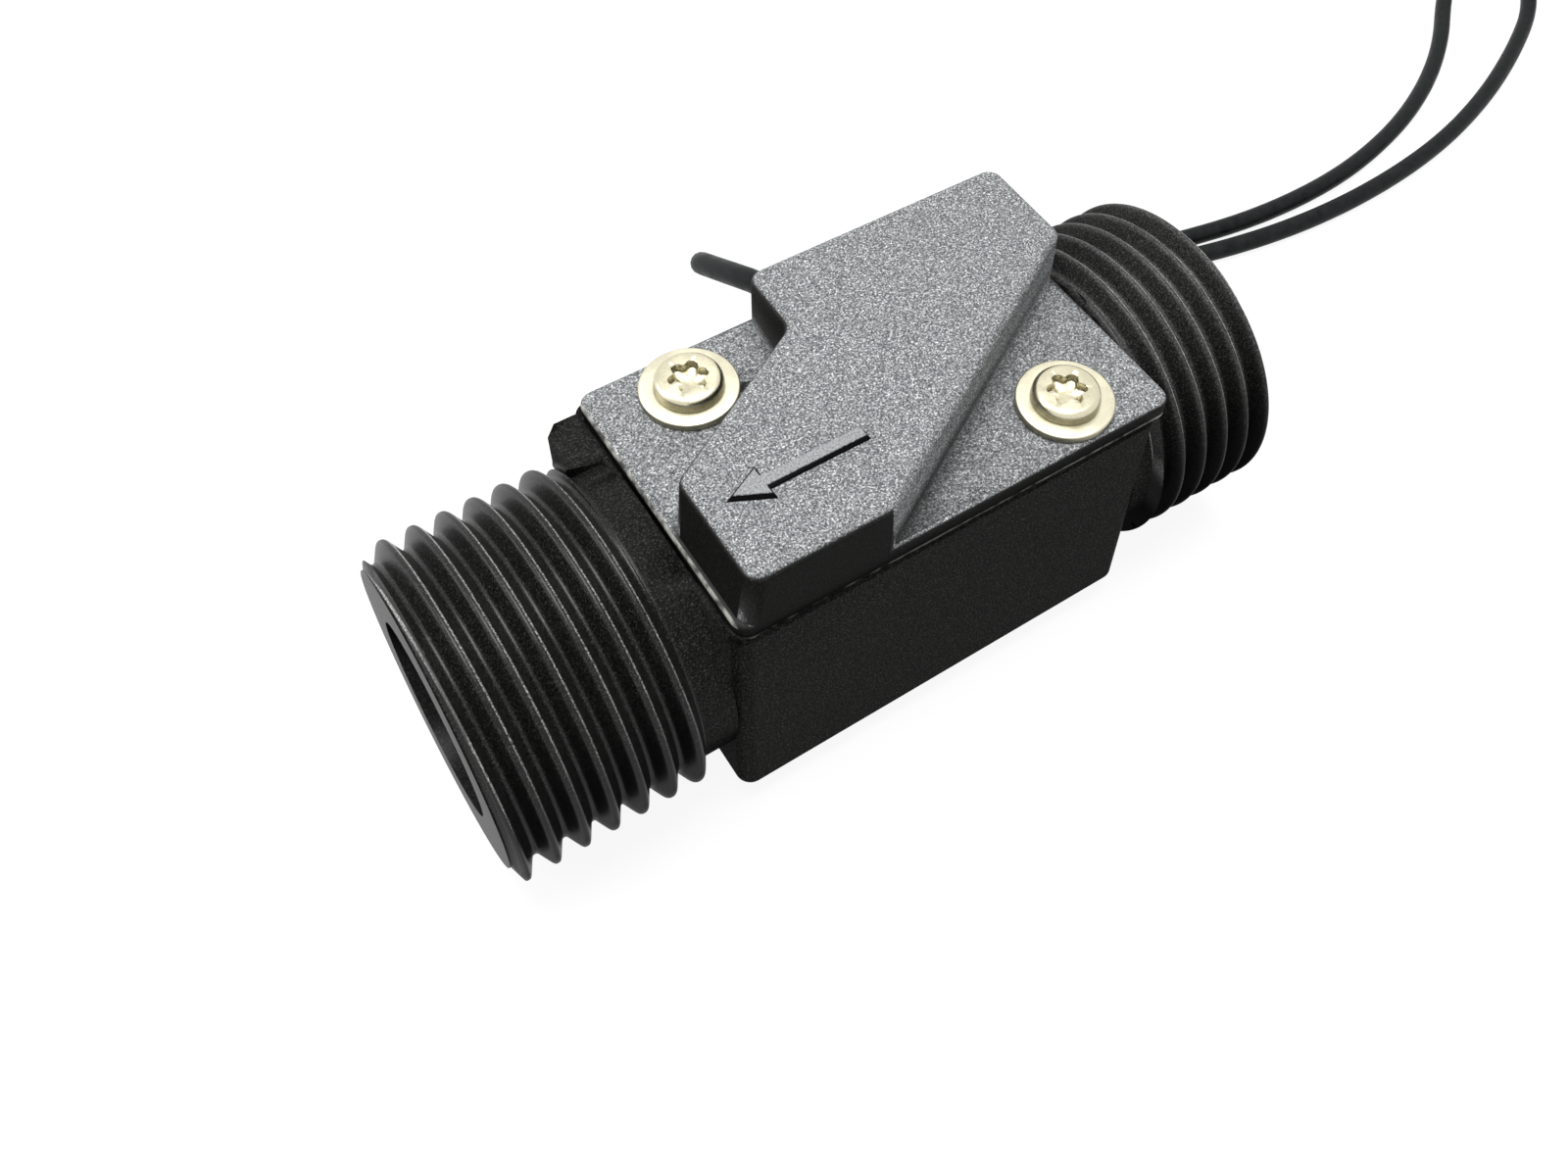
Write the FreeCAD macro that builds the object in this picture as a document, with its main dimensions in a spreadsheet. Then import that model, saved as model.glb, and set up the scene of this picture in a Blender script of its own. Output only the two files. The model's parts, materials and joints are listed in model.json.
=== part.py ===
import FreeCAD, Part
import math
import os
import Sketcher
from FreeCAD import Placement, Rotation, Vector

# In-line flow switch with half-inch parallel pipe threads, lengths in millimetres.
# +X runs along the flow from inlet to outlet, +Z points up through the cover.
# The origin is on the flow axis, where the full inlet thread begins.

SIZES = (
    ("thread_radius", 10.4775, "outside radius of the pipe thread"),
    ("thread_root_radius", 9.3155, "radius of the necks and lead-in collars"),
    ("collar_length", 0.15, "plain collar beyond each lead-in cone"),
    ("lead_in_length", 0.4, "cone from the collar up to the full thread"),
    ("inlet_thread_length", 9.0, "full thread at the inlet"),
    ("inlet_neck_length", 1.5, "neck between inlet thread and block"),
    ("outlet_thread_length", 11.5, "full thread at the outlet"),
    ("outlet_neck_length", 2.3, "neck between block and outlet thread"),
    ("block_length", 29.3, "block along the flow"),
    ("block_width", 19.4, "block across the flow"),
    ("axis_to_top", 8.2, "flow axis up to the cover joint"),
    ("axis_to_bottom", 8.5, "flow axis down to the block's underside"),
    ("block_corner_radius", 1.0, "upright corners of the block"),
    ("block_edge_radius", 0.5, "edges round the underside"),
    ("lug_length", 2.2, "moulded lug standing out over the outlet neck"),
    ("lug_width", 3.4, "lug across the flow"),
    ("lug_height", 2.2, "lug down from the cover joint"),
    ("lug_bevel", 0.9, "slanted corner of the lug"),
    ("lug_inset", 0.5, "lug in from the block's side"),
    ("bore_radius", 5.8, "flow passage through the block"),
    ("mouth_radius", 6.1, "wide mouth inside each thread"),
    ("mouth_depth", 7.6, "depth of the wide mouths"),
    ("mouth_taper", 1.6, "cone from mouth to flow passage"),
    ("chamber_gap", 0.25, "hinge ears to the wall of the upright chamber"),
    ("carrier_ledge", 0.6, "carrier plate beyond the chamber, all round"),
    ("carrier_thickness", 1.2, "hinge carrier plate"),
    ("fit_gap", 0.02, "gap round pieces that are fitted and stay put"),
    ("seal_wall", 0.73, "wall between carrier seat and seal groove"),
    ("seal_section_radius", 0.6, "round section of the seal ring"),
    ("seal_side_gap", 0.15, "room beside the seal in its groove"),
    ("cover_length", 30.1, "cover along the flow"),
    ("cover_overhang", 1.1, "cover beyond the block at the inlet"),
    ("cover_width", 18.9, "cover across the flow"),
    ("cover_corner_radius", 1.0, "upright corners of the cover plate"),
    ("plate_thickness", 1.2, "flange plate of the cover"),
    ("plate_edge_radius", 0.3, "edges round the plate's top"),
    ("bump_height", 4.05, "raised switch housing above the plate"),
    ("bump_corner_radius", 1.0, "upright corners of the housing"),
    ("bump_edge_radius", 0.5, "edges round the housing's top"),
    ("bump_angle", 30.0, "slant of the housing's two oblique walls, degrees"),
    ("bump_ledge", 0.2, "plate beyond the foot of the housing's outlet wall"),
    ("bump_lean", 0.65, "lean of that wall over its height"),
    ("notch_from_middle", 3.4, "step in the housing beside the outlet screw"),
    ("notch_depth", 4.85, "length of that step from the rear edge"),
    ("front_corner_from_middle", 5.5, "start of the oblique wall on the front edge"),
    ("arrow_tail_from_middle", 4.1, "tail of the flow arrow"),
    ("arrow_from_axis", 4.35, "arrow's line in front of the flow axis"),
    ("arrow_length", 8.25, "tail to tip"),
    ("arrow_head_length", 1.9, "arrow head along the flow"),
    ("arrow_head_width", 1.9, "arrow head across"),
    ("arrow_shaft_width", 0.7, "arrow shaft across"),
    ("arrow_height", 0.3, "arrow above the housing's top"),
    ("screw_inset_x", 5.9, "cover screws in from the cover's ends"),
    ("screw_inset_y", 3.2, "cover screws in from the cover's long sides"),
    ("screw_radius", 1.25, "thread of the cover screws"),
    ("screw_grip", 3.6, "screw length in the block"),
    ("screw_hole_gap", 0.2, "room round the screw in cover and washer"),
    ("screw_hole_spare", 0.3, "tapped hole beyond the screw's tip"),
    ("screw_head_radius", 2.1, "button head"),
    ("screw_head_height", 0.9, "button head"),
    ("screw_rim_height", 0.25, "straight rim of the button head"),
    ("washer_radius", 3.0, "flat washer"),
    ("washer_thickness", 0.55, "flat washer"),
    ("seat_length", 3.5, "valve seat ring along the flow"),
    ("seat_hole_radius", 3.6, "opening that the flap closes"),
    ("seat_flare", 1.0, "wider upstream edge of that opening"),
    ("seat_face_from_middle", 2.9, "seat face upstream of the chamber's middle"),
    ("flap_gap", 0.1, "closed flap to seat face"),
    ("flap_overlap", 0.6, "flap beyond the seat opening, all round"),
    ("flap_thickness", 1.2, "round flap"),
    ("knuckle_span", 4.0, "over both knuckles"),
    ("knuckle_gap", 0.2, "knuckle to carrier plate"),
    ("spring_slot", 1.5, "gap between the knuckles for the spring"),
    ("pin_radius", 0.6, "hinge pin"),
    ("pin_running_gap", 0.05, "radial play of the flap on its pin"),
    ("eye_wall", 0.65, "ear and knuckle material round the pin"),
    ("ear_thickness", 1.0, "carrier's hinge ears"),
    ("ear_gap", 0.15, "ear to knuckle, each side"),
    ("shoulder_gap", 0.4, "flap's shoulders below the ears"),
    ("magnet_radius", 1.4, "round magnet in the flap"),
    ("magnet_length", 2.2, "round magnet in the flap"),
    ("magnet_cap", 0.4, "disc that seals the magnet in"),
    ("magnet_drop", 3.8, "magnet's middle below the hinge pin"),
    ("magnet_wall", 0.6, "boss wall round the magnet"),
    ("spring_wire_radius", 0.14, "return spring wire"),
    ("spring_coil_radius", 0.9, "middle of the spring's coils"),
    ("spring_foot", 0.1, "spring's lower end above the magnet boss"),
    ("pocket_from_middle", 1.0, "middle of the reed pocket, towards the outlet"),
    ("pocket_side_gap", 0.15, "reed and lead to the pocket's side walls"),
    ("pocket_rise_gap", 0.35, "reed to the pocket's floor and roof"),
    ("pocket_floor", 0.6, "housing floor under the reed pocket"),
    ("pocket_end_gap", 0.55, "turned-back tail to the pocket's end"),
    ("lead_spacing", 1.8, "between the two leads"),
    ("lead_radius", 0.75, "insulated lead"),
    ("lead_grip", 0.8, "insulated lead inside the resin"),
    ("crimp_radius", 0.6, "crimp sleeve"),
    ("crimp_length", 1.6, "crimp sleeve"),
    ("blade_radius", 0.25, "round tail of a reed blade"),
    ("blade_thickness", 0.2, "flattened end of a reed blade"),
    ("blade_width", 0.8, "flattened end of a reed blade"),
    ("blade_overlap", 1.0, "length where the two blades face each other"),
    ("contact_gap", 0.12, "open gap between the blades"),
    ("glass_radius", 0.95, "reed's glass tube"),
    ("glass_length", 7.4, "reed's glass tube"),
    ("glass_from_crimp", 0.7, "bare tail between crimp and glass"),
    ("tail_before_bend", 0.3, "straight tail past the glass before it turns back"),
    ("sleeve_wall", 0.25, "insulating sleeve on the returning tail"),
    ("sleeve_short", 0.4, "insulating sleeve shorter than the glass"),
    ("coil_radius", 8.5, "middle of the put-away coil's turns"),
    ("tie_thickness", 0.4, "tie band round the coil"),
    ("tie_width", 2.4, "tie band round the coil"),
    ("tinned_radius", 0.45, "tinned bare end of a lead"),
    ("tinned_length", 5.0, "tinned bare end of a lead"),
)

# Routes of the two leads after the exit, on the surface that the threads lie on where the
# height is given as 0: (along the flow, across, height of the lead's middle above lying flat).
LEAD_1_ROUTE = (
    (27.3, -13.35, 21.0),
    (27.2, -16.15, 19.45),
    (26.1, -17.75, 16.9),
    (23.9, -17.7, 13.5),
    (20.1, -17.9, 10.2),
    (14.6, -18.3, 6.3),
    (8.0, -18.2, 2.9),
    (1.0, -17.3, 0.6),
    (-6.8, -15.7, 0.0),
    (-14.8, -13.5, 0.0),
    (-23.6, -11.9, 0.0),
    (-33.0, -11.9, 0.0),
    (-41.6, -13.7, 0.0),
    (-48.8, -16.6, 0.0),
    (-55.0, -20.4, 0.0),
    (-60.3, -25.0, 0.0),
    (-67.5, -30.6, 0.6),
    (-75.93, -36.32, 3.0),
    (-80.91, -36.75, 3.4),
)
LEAD_2_ROUTE = (
    (25.15, -13.8, 19.8),
    (25.15, -15.6, 17.2),
    (24.2, -15.9, 13.95),
    (21.0, -15.9, 10.15),
    (15.6, -16.1, 6.2),
    (9.0, -16.2, 2.9),
    (1.4, -15.4, 0.6),
    (-8.6, -13.4, 0.0),
    (-16.6, -10.9, 0.0),
    (-25.4, -9.4, 0.0),
    (-34.6, -9.2, 0.0),
    (-44.1, -10.3, 0.0),
    (-52.9, -12.8, 0.0),
    (-60.8, -16.2, 0.0),
    (-67.4, -19.9, 0.0),
    (-72.1, -25.1, 0.0),
    (-76.56, -30.16, 0.4),
)
STRAIGHT_OUT = {"lead_1": 0.85, "lead_2": 1.55}
COIL_CENTRE = (-87.0, -28.0)
COIL_END_ANGLE = {"lead_1": 170.0, "lead_2": 120.0}
TIE_ANGLE = 20.0
SPRING_TURNS = 3

doc = FreeCAD.newDocument("FlowSwitch")
sheet = doc.addObject("Spreadsheet::Sheet", "Sizes")
for row, (alias, number, note) in enumerate(SIZES, start=1):
    sheet.set(f"A{row}", note)
    sheet.set(f"B{row}", str(number))
    sheet.setAlias(f"B{row}", alias)
doc.recompute()

# Places worked out from the sizes
BLOCK_START = "(Sizes.inlet_thread_length + Sizes.inlet_neck_length)"
BLOCK_END = f"({BLOCK_START} + Sizes.block_length)"
OUTLET_START = f"({BLOCK_END} + Sizes.outlet_neck_length)"
OUTLET_END = f"({OUTLET_START} + Sizes.outlet_thread_length)"
PIPE_START = "(-Sizes.lead_in_length - Sizes.collar_length)"
PIPE_END = f"({OUTLET_END} + Sizes.lead_in_length + Sizes.collar_length)"
COVER_START = f"({BLOCK_START} - Sizes.cover_overhang)"
MIDDLE = f"({COVER_START} + Sizes.cover_length / 2)"
PLATE_TOP = "(Sizes.axis_to_top + Sizes.plate_thickness)"
BUMP_TOP = f"({PLATE_TOP} + Sizes.bump_height)"
REAR = "(-Sizes.cover_width / 2)"
CARRIER_BOTTOM = "(Sizes.axis_to_top - Sizes.carrier_thickness)"
SEAT_FACE = f"({MIDDLE} - Sizes.seat_face_from_middle)"
FLAP_FACE = f"({SEAT_FACE} + Sizes.flap_gap)"
FLAP_BACK = f"({FLAP_FACE} + Sizes.flap_thickness)"
EYE_RADIUS = "(Sizes.pin_radius + Sizes.eye_wall)"
EAR_INSIDE = "(Sizes.knuckle_span / 2 + Sizes.ear_gap)"
EAR_OUTSIDE = f"({EAR_INSIDE} + Sizes.ear_thickness)"
HINGE_X = f"({FLAP_FACE} + {EYE_RADIUS} + Sizes.flap_gap)"
HINGE_Z = f"({CARRIER_BOTTOM} - Sizes.knuckle_gap - {EYE_RADIUS})"
FLAP_RADIUS = "(Sizes.seat_hole_radius + Sizes.flap_overlap)"
BOSS_RADIUS = "(Sizes.magnet_radius + Sizes.magnet_wall)"
CHAMBER_RADIUS = (f"(sqrt(({MIDDLE} - {HINGE_X} + {EYE_RADIUS})^2 + {EAR_OUTSIDE}^2)"
                  " + Sizes.chamber_gap)")
CARRIER_RADIUS = f"({CHAMBER_RADIUS} + Sizes.carrier_ledge)"
HALF_GROOVE = "(Sizes.seal_section_radius + Sizes.seal_side_gap)"
SEAL_RADIUS = f"({CARRIER_RADIUS} + Sizes.fit_gap + Sizes.seal_wall + {HALF_GROOVE})"
MAGNET_Z = f"({HINGE_Z} - Sizes.magnet_drop)"
MAGNET_END = f"({FLAP_BACK} + Sizes.magnet_length)"
SEAL_GROOVE_DEPTH = "(2 * Sizes.seal_section_radius + Sizes.fit_gap)"
POCKET_X = f"({MIDDLE} + Sizes.pocket_from_middle)"
POCKET_BOTTOM = f"({PLATE_TOP} + Sizes.pocket_floor)"
POCKET_HEIGHT = "(2 * (Sizes.glass_radius + Sizes.pocket_rise_gap))"
REED_Z = f"({POCKET_BOTTOM} + {POCKET_HEIGHT} / 2)"
REED_X = f"({POCKET_X} - Sizes.lead_spacing / 2)"
RETURN_X = f"({POCKET_X} + Sizes.lead_spacing / 2)"
LEAD_START = f"({REAR} + Sizes.lead_grip)"
CRIMP_END = f"({LEAD_START} + Sizes.crimp_length)"
GLASS_START = f"({CRIMP_END} + Sizes.glass_from_crimp)"
GLASS_END = f"({GLASS_START} + Sizes.glass_length)"
TAIL_TURN = f"({GLASS_END} + Sizes.tail_before_bend)"
POCKET_END = f"({TAIL_TURN} + Sizes.lead_spacing / 2 + Sizes.blade_radius + Sizes.pocket_end_gap)"
POCKET_LEFT = f"({REED_X} - Sizes.glass_radius - Sizes.pocket_side_gap)"
POCKET_RIGHT = f"({RETURN_X} + Sizes.lead_radius + Sizes.pocket_side_gap)"
FLOOR = "(-Sizes.thread_radius)"

ALONG_X = Rotation(Vector(0, 1, 0), 90)
ALONG_Y = Rotation(Vector(1, 0, 0), -90)
UPRIGHT = Rotation()
nodes = []


def value(expression):
    """The number that an expression over the sheet gives."""
    return float(sheet.evalExpression(expression))


def node(shape_object, label):
    """Marks an object of the document as one finished piece, named after its file."""
    shape_object.Label = label
    nodes.append(shape_object)
    return shape_object


def place(part, x, y, z, turn):
    """Turns a primitive and ties its place to the sheet."""
    part.Placement = Placement(Vector(), turn)
    for axis, expression in zip("xyz", (x, y, z)):
        part.setExpression(f"Placement.Base.{axis}", expression)
    return part


def box(name, size, corner):
    """A box from its lowest corner, every size and place an expression."""
    part = doc.addObject("Part::Box", name)
    for side, expression in zip(("Length", "Width", "Height"), size):
        part.setExpression(side, expression)
    return place(part, *corner, UPRIGHT)


def rod(name, radius, length, start, turn=UPRIGHT):
    """A cylinder from the middle of its first end face."""
    part = doc.addObject("Part::Cylinder", name)
    part.setExpression("Radius", radius)
    part.setExpression("Height", length)
    return place(part, *start, turn)


def fuse(name, shapes):
    part = doc.addObject("Part::MultiFuse", name)
    part.Shapes = shapes
    return part


def cut(name, base, tool):
    part = doc.addObject("Part::Cut", name)
    part.Base = base
    part.Tool = tool
    return part


def group(name, pieces):
    """Separate solids that share one node."""
    part = doc.addObject("Part::Compound", name)
    part.Links = pieces
    return part


def tube(name, outer, inner, length, start, turn=UPRIGHT):
    return cut(name, rod(name + "Outside", outer, length, start, turn),
               rod(name + "Hole", inner, length, start, turn))


def new_sketch(body, name, plane, height="0"):
    """An empty sketch on one of the body's own origin planes, raised by height."""
    sketch = body.newObject("Sketcher::SketchObject", name)
    support = [f for f in body.Origin.OriginFeatures if f.Role == plane][0]
    sketch.AttachmentSupport = [(support, "")]
    sketch.MapMode = "FlatFace"
    sketch.setExpression("AttachmentOffset.Base.z", height)
    return sketch


def pin_point(sketch, geometry, position, x, y):
    """Ties one point of a sketch to the sheet by its two coordinates."""
    for kind, expression in (("DistanceX", x), ("DistanceY", y)):
        constraint = Sketcher.Constraint(kind, -1, 1, geometry, position, value(expression))
        index = sketch.addConstraint(constraint)
        sketch.setExpression(f"Constraints[{index}]", expression)


def outline(sketch, points):
    """A closed outline of straight lines through points given as pairs of expressions."""
    first = sketch.GeometryCount
    corners = [Vector(value(x), value(y), 0) for x, y in points]
    count = len(corners)
    for i in range(count):
        sketch.addGeometry(Part.LineSegment(corners[i], corners[(i + 1) % count]), False)
    for i in range(count):
        following = first + (i + 1) % count
        sketch.addConstraint(Sketcher.Constraint("Coincident", first + i, 2, following, 1))
    for i, (x, y) in enumerate(points):
        pin_point(sketch, first + i, 1, x, y)
    return sketch


def circle(sketch, x, y, radius):
    """A full circle tied to the sheet."""
    shape = Part.Circle(Vector(value(x), value(y), 0), Vector(0, 0, 1), value(radius))
    index = sketch.addGeometry(shape, False)
    pin_point(sketch, index, 3, x, y)
    size = sketch.addConstraint(Sketcher.Constraint("Radius", index, value(radius)))
    sketch.setExpression(f"Constraints[{size}]", radius)
    return sketch


def pad(body, name, sketch, height):
    feature = body.newObject("PartDesign::Pad", name)
    feature.Profile = sketch
    feature.setExpression("Length", height)
    doc.recompute()
    return feature


def pocket(body, name, sketch, depth):
    """Cuts downwards from the sketch, and makes sure that something was cut."""
    before = body.Shape.Volume
    feature = body.newObject("PartDesign::Pocket", name)
    feature.Profile = sketch
    feature.setExpression("Length", depth)
    doc.recompute()
    if not body.Shape.Volume < before:
        raise RuntimeError(f"{name} cuts nothing")
    return feature


def turned(body, kind, name, sketch, axis):
    """A full turn of a sketch about one of its own axes."""
    feature = body.newObject(f"PartDesign::{kind}", name)
    feature.Profile = sketch
    feature.ReferenceAxis = (sketch, [axis])
    feature.Angle = 360.0
    doc.recompute()
    return feature


def rounded(body, name, base, wanted, radius):
    """Rounds the edges of a feature that the test picks out."""
    feature = body.newObject("PartDesign::Fillet", name)
    picked = [f"Edge{i}" for i, edge in enumerate(base.Shape.Edges, start=1) if wanted(edge)]
    feature.Base = (base, picked)
    feature.setExpression("Radius", radius)
    doc.recompute()
    return feature


def upright(edge):
    low, high = edge.BoundBox.ZMin, edge.BoundBox.ZMax
    return edge.BoundBox.XLength < 1e-4 and edge.BoundBox.YLength < 1e-4 and high - low > 1e-3


def at_height(expression):
    """A test for edges that lie flat at one height."""
    height = value(expression)
    return lambda edge: edge.BoundBox.ZLength < 1e-4 and abs(edge.BoundBox.ZMin - height) < 1e-4


def screw_places():
    """The two cover screws, on opposite corners of the cover."""
    for number, sign in ((1, 1), (2, -1)):
        x = f"({MIDDLE} + {sign} * (Sizes.cover_length / 2 - Sizes.screw_inset_x))"
        y = f"({-sign} * (Sizes.cover_width / 2 - Sizes.screw_inset_y))"
        yield number, x, y


def make_body():
    """The moulded body: block, two threaded pipe ends, flow passage and top chamber."""
    body = doc.addObject("PartDesign::Body", "Body")
    side = "Sizes.block_width / 2"
    plan = outline(new_sketch(body, "BlockPlan", "XY_Plane", "-Sizes.axis_to_bottom"), (
        (BLOCK_START, f"-{side}"),
        (BLOCK_END, f"-{side}"),
        (BLOCK_END, side),
        (BLOCK_START, side),
    ))
    block = pad(body, "Block", plan, "Sizes.axis_to_bottom + Sizes.axis_to_top")
    corners = rounded(body, "BlockCorners", block, upright, "Sizes.block_corner_radius")
    underside = at_height("-Sizes.axis_to_bottom")
    rounded(body, "BlockUnderside", corners, underside, "Sizes.block_edge_radius")

    lug_rear = "(-Sizes.block_width / 2 + Sizes.lug_inset)"
    lug_tip = f"({BLOCK_END} + Sizes.lug_length)"
    lug_foot = "Sizes.axis_to_top - Sizes.lug_height"
    lug_plan = outline(new_sketch(body, "LugPlan", "XY_Plane", lug_foot), (
        (f"{BLOCK_END} - Sizes.block_corner_radius", lug_rear),
        (f"{lug_tip} - Sizes.lug_bevel", lug_rear),
        (lug_tip, f"{lug_rear} + Sizes.lug_bevel"),
        (lug_tip, f"{lug_rear} + Sizes.lug_width"),
        (f"{BLOCK_END} - Sizes.block_corner_radius", f"{lug_rear} + Sizes.lug_width"),
    ))
    pad(body, "Lug", lug_plan, "Sizes.lug_height")

    root, crest = "Sizes.thread_root_radius", "Sizes.thread_radius"
    inlet = outline(new_sketch(body, "InletProfile", "XZ_Plane"), (
        (PIPE_START, "0"),
        (PIPE_START, root),
        ("-Sizes.lead_in_length", root),
        ("0", crest),
        ("Sizes.inlet_thread_length", crest),
        ("Sizes.inlet_thread_length", root),
        (BLOCK_START, root),
        (BLOCK_START, "0"),
    ))
    turned(body, "Revolution", "InletPipe", inlet, "H_Axis")
    outlet = outline(new_sketch(body, "OutletProfile", "XZ_Plane"), (
        (BLOCK_END, "0"),
        (BLOCK_END, root),
        (OUTLET_START, root),
        (OUTLET_START, crest),
        (OUTLET_END, crest),
        (f"{OUTLET_END} + Sizes.lead_in_length", root),
        (PIPE_END, root),
        (PIPE_END, "0"),
    ))
    turned(body, "Revolution", "OutletPipe", outlet, "H_Axis")

    inlet_mouth_end = f"({PIPE_START} + Sizes.mouth_depth)"
    outlet_mouth_end = f"({PIPE_END} - Sizes.mouth_depth)"
    passage = outline(new_sketch(body, "PassageProfile", "XZ_Plane"), (
        (PIPE_START, "0"),
        (PIPE_START, "Sizes.mouth_radius"),
        (inlet_mouth_end, "Sizes.mouth_radius"),
        (f"{inlet_mouth_end} + Sizes.mouth_taper", "Sizes.bore_radius"),
        (f"{outlet_mouth_end} - Sizes.mouth_taper", "Sizes.bore_radius"),
        (outlet_mouth_end, "Sizes.mouth_radius"),
        (PIPE_END, "Sizes.mouth_radius"),
        (PIPE_END, "0"),
    ))
    turned(body, "Groove", "FlowPassage", passage, "H_Axis")

    top = "Sizes.axis_to_top"
    flat = outline(new_sketch(body, "NeckFlatPlan", "XY_Plane", crest), (
        (f"{COVER_START} - Sizes.fit_gap", f"-{side}"),
        (BLOCK_START, f"-{side}"),
        (BLOCK_START, side),
        (f"{COVER_START} - Sizes.fit_gap", side),
    ))
    pocket(body, "NeckFlat", flat, f"{crest} - {top}")
    chamber = circle(new_sketch(body, "ChamberPlan", "XY_Plane", top), MIDDLE, "0", CHAMBER_RADIUS)
    pocket(body, "Chamber", chamber, top)
    carrier_seat = circle(new_sketch(body, "CarrierSeatPlan", "XY_Plane", top), MIDDLE, "0",
                          f"{CARRIER_RADIUS} + Sizes.fit_gap")
    pocket(body, "CarrierSeat", carrier_seat, "Sizes.carrier_thickness")
    groove_plan = new_sketch(body, "SealGroovePlan", "XY_Plane", top)
    circle(groove_plan, MIDDLE, "0", f"{SEAL_RADIUS} - {HALF_GROOVE}")
    circle(groove_plan, MIDDLE, "0", f"{SEAL_RADIUS} + {HALF_GROOVE}")
    pocket(body, "SealGroove", groove_plan, SEAL_GROOVE_DEPTH)
    holes = new_sketch(body, "ScrewHolePlan", "XY_Plane", top)
    for _, x, y in screw_places():
        circle(holes, x, y, "Sizes.screw_radius + Sizes.fit_gap")
    pocket(body, "ScrewHoles", holes, "Sizes.screw_grip + Sizes.screw_hole_spare")
    return node(body, "body")


def make_cover():
    """The cover: flange plate with its screw holes, oblique switch housing, flow arrow and reed pocket."""
    plate = doc.addObject("PartDesign::Body", "CoverPlate")
    half_wide = "(Sizes.cover_width / 2)"
    inlet_side, outlet_side = COVER_START, f"({COVER_START} + Sizes.cover_length)"
    plan = outline(new_sketch(plate, "PlatePlan", "XY_Plane", "Sizes.axis_to_top"), (
        (inlet_side, f"-{half_wide}"),
        (outlet_side, f"-{half_wide}"),
        (outlet_side, half_wide),
        (inlet_side, half_wide),
    ))
    slab = pad(plate, "Plate", plan, "Sizes.plate_thickness")
    corners = rounded(plate, "PlateCorners", slab, upright, "Sizes.cover_corner_radius")
    rounded(plate, "PlateTopEdges", corners, at_height(PLATE_TOP), "Sizes.plate_edge_radius")
    holes = new_sketch(plate, "CoverHolePlan", "XY_Plane", PLATE_TOP)
    for _, x, y in screw_places():
        circle(holes, x, y, "Sizes.screw_radius + Sizes.screw_hole_gap")
    pocket(plate, "CoverHoles", holes, "Sizes.plate_thickness")

    housing = doc.addObject("PartDesign::Body", "SwitchHousing")
    slope = "tan(Sizes.bump_angle * 1 deg)"
    outlet_wall = f"({outlet_side} - Sizes.bump_ledge)"
    notch_x = f"({MIDDLE} + Sizes.notch_from_middle)"
    notch_y = f"(-{half_wide} + Sizes.notch_depth)"
    front_x = f"({MIDDLE} + Sizes.front_corner_from_middle)"
    bump_plan = outline(new_sketch(housing, "BumpPlan", "XY_Plane", "Sizes.axis_to_top"), (
        (inlet_side, f"-{half_wide}"),
        (notch_x, f"-{half_wide}"),
        (notch_x, notch_y),
        (outlet_wall, f"{notch_y} + ({outlet_wall} - {notch_x}) * {slope}"),
        (outlet_wall, half_wide),
        (front_x, half_wide),
        (inlet_side, f"{half_wide} - ({front_x} - {inlet_side}) * {slope}"),
    ))
    pad(housing, "Bump", bump_plan, "Sizes.plate_thickness + Sizes.bump_height")
    lean_side = outline(new_sketch(housing, "LeanProfile", "XZ_Plane", "Sizes.cover_width"), (
        (outlet_wall, "Sizes.axis_to_top"),
        (f"{outlet_wall} + Sizes.bump_lean", "Sizes.axis_to_top"),
        (f"{outlet_wall} + Sizes.bump_lean", BUMP_TOP),
        (f"{outlet_wall} - Sizes.bump_lean", BUMP_TOP),
    ))
    leaning = pocket(housing, "LeaningWall", lean_side, "2 * Sizes.cover_width")
    tall = value("Sizes.plate_thickness + Sizes.bump_height")
    corners = rounded(housing, "BumpCorners", leaning, lambda edge: edge.BoundBox.ZLength > 0.99 * tall,
                      "Sizes.bump_corner_radius")
    rounded(housing, "BumpTopEdges", corners, at_height(BUMP_TOP), "Sizes.bump_edge_radius")

    tail_x = f"({MIDDLE} + Sizes.arrow_tail_from_middle)"
    tip_x = f"({tail_x} + Sizes.arrow_length)"
    neck_x = f"({tip_x} - Sizes.arrow_head_length)"
    line = "Sizes.arrow_from_axis"
    shaft, head = "Sizes.arrow_shaft_width / 2", "Sizes.arrow_head_width / 2"
    arrow_plan = outline(new_sketch(housing, "ArrowPlan", "XY_Plane", BUMP_TOP), (
        (tail_x, f"{line} - {shaft}"),
        (neck_x, f"{line} - {shaft}"),
        (neck_x, f"{line} - {head}"),
        (tip_x, line),
        (neck_x, f"{line} + {head}"),
        (neck_x, f"{line} + {shaft}"),
        (tail_x, f"{line} + {shaft}"),
    ))
    pad(housing, "Arrow", arrow_plan, "Sizes.arrow_height")
    reed_pocket = pocket_space("ReedPocket")
    return node(cut("Cover", fuse("CoverSolid", [plate, housing]), reed_pocket), "cover")


def pocket_space(name):
    """The space of the reed pocket, open at the cover's rear wall."""
    return box(name, (f"{POCKET_RIGHT} - {POCKET_LEFT}", f"{POCKET_END} - {REAR}", POCKET_HEIGHT),
               (POCKET_LEFT, REAR, POCKET_BOTTOM))


def make_seal():
    """The round seal ring in the groove under the cover."""
    ring = doc.addObject("Part::Torus", "CoverSeal")
    ring.setExpression("Radius1", SEAL_RADIUS)
    ring.setExpression("Radius2", "Sizes.seal_section_radius")
    place(ring, MIDDLE, "0", f"Sizes.axis_to_top - {SEAL_GROOVE_DEPTH} / 2", UPRIGHT)
    return node(ring, "cover_seal")


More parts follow.
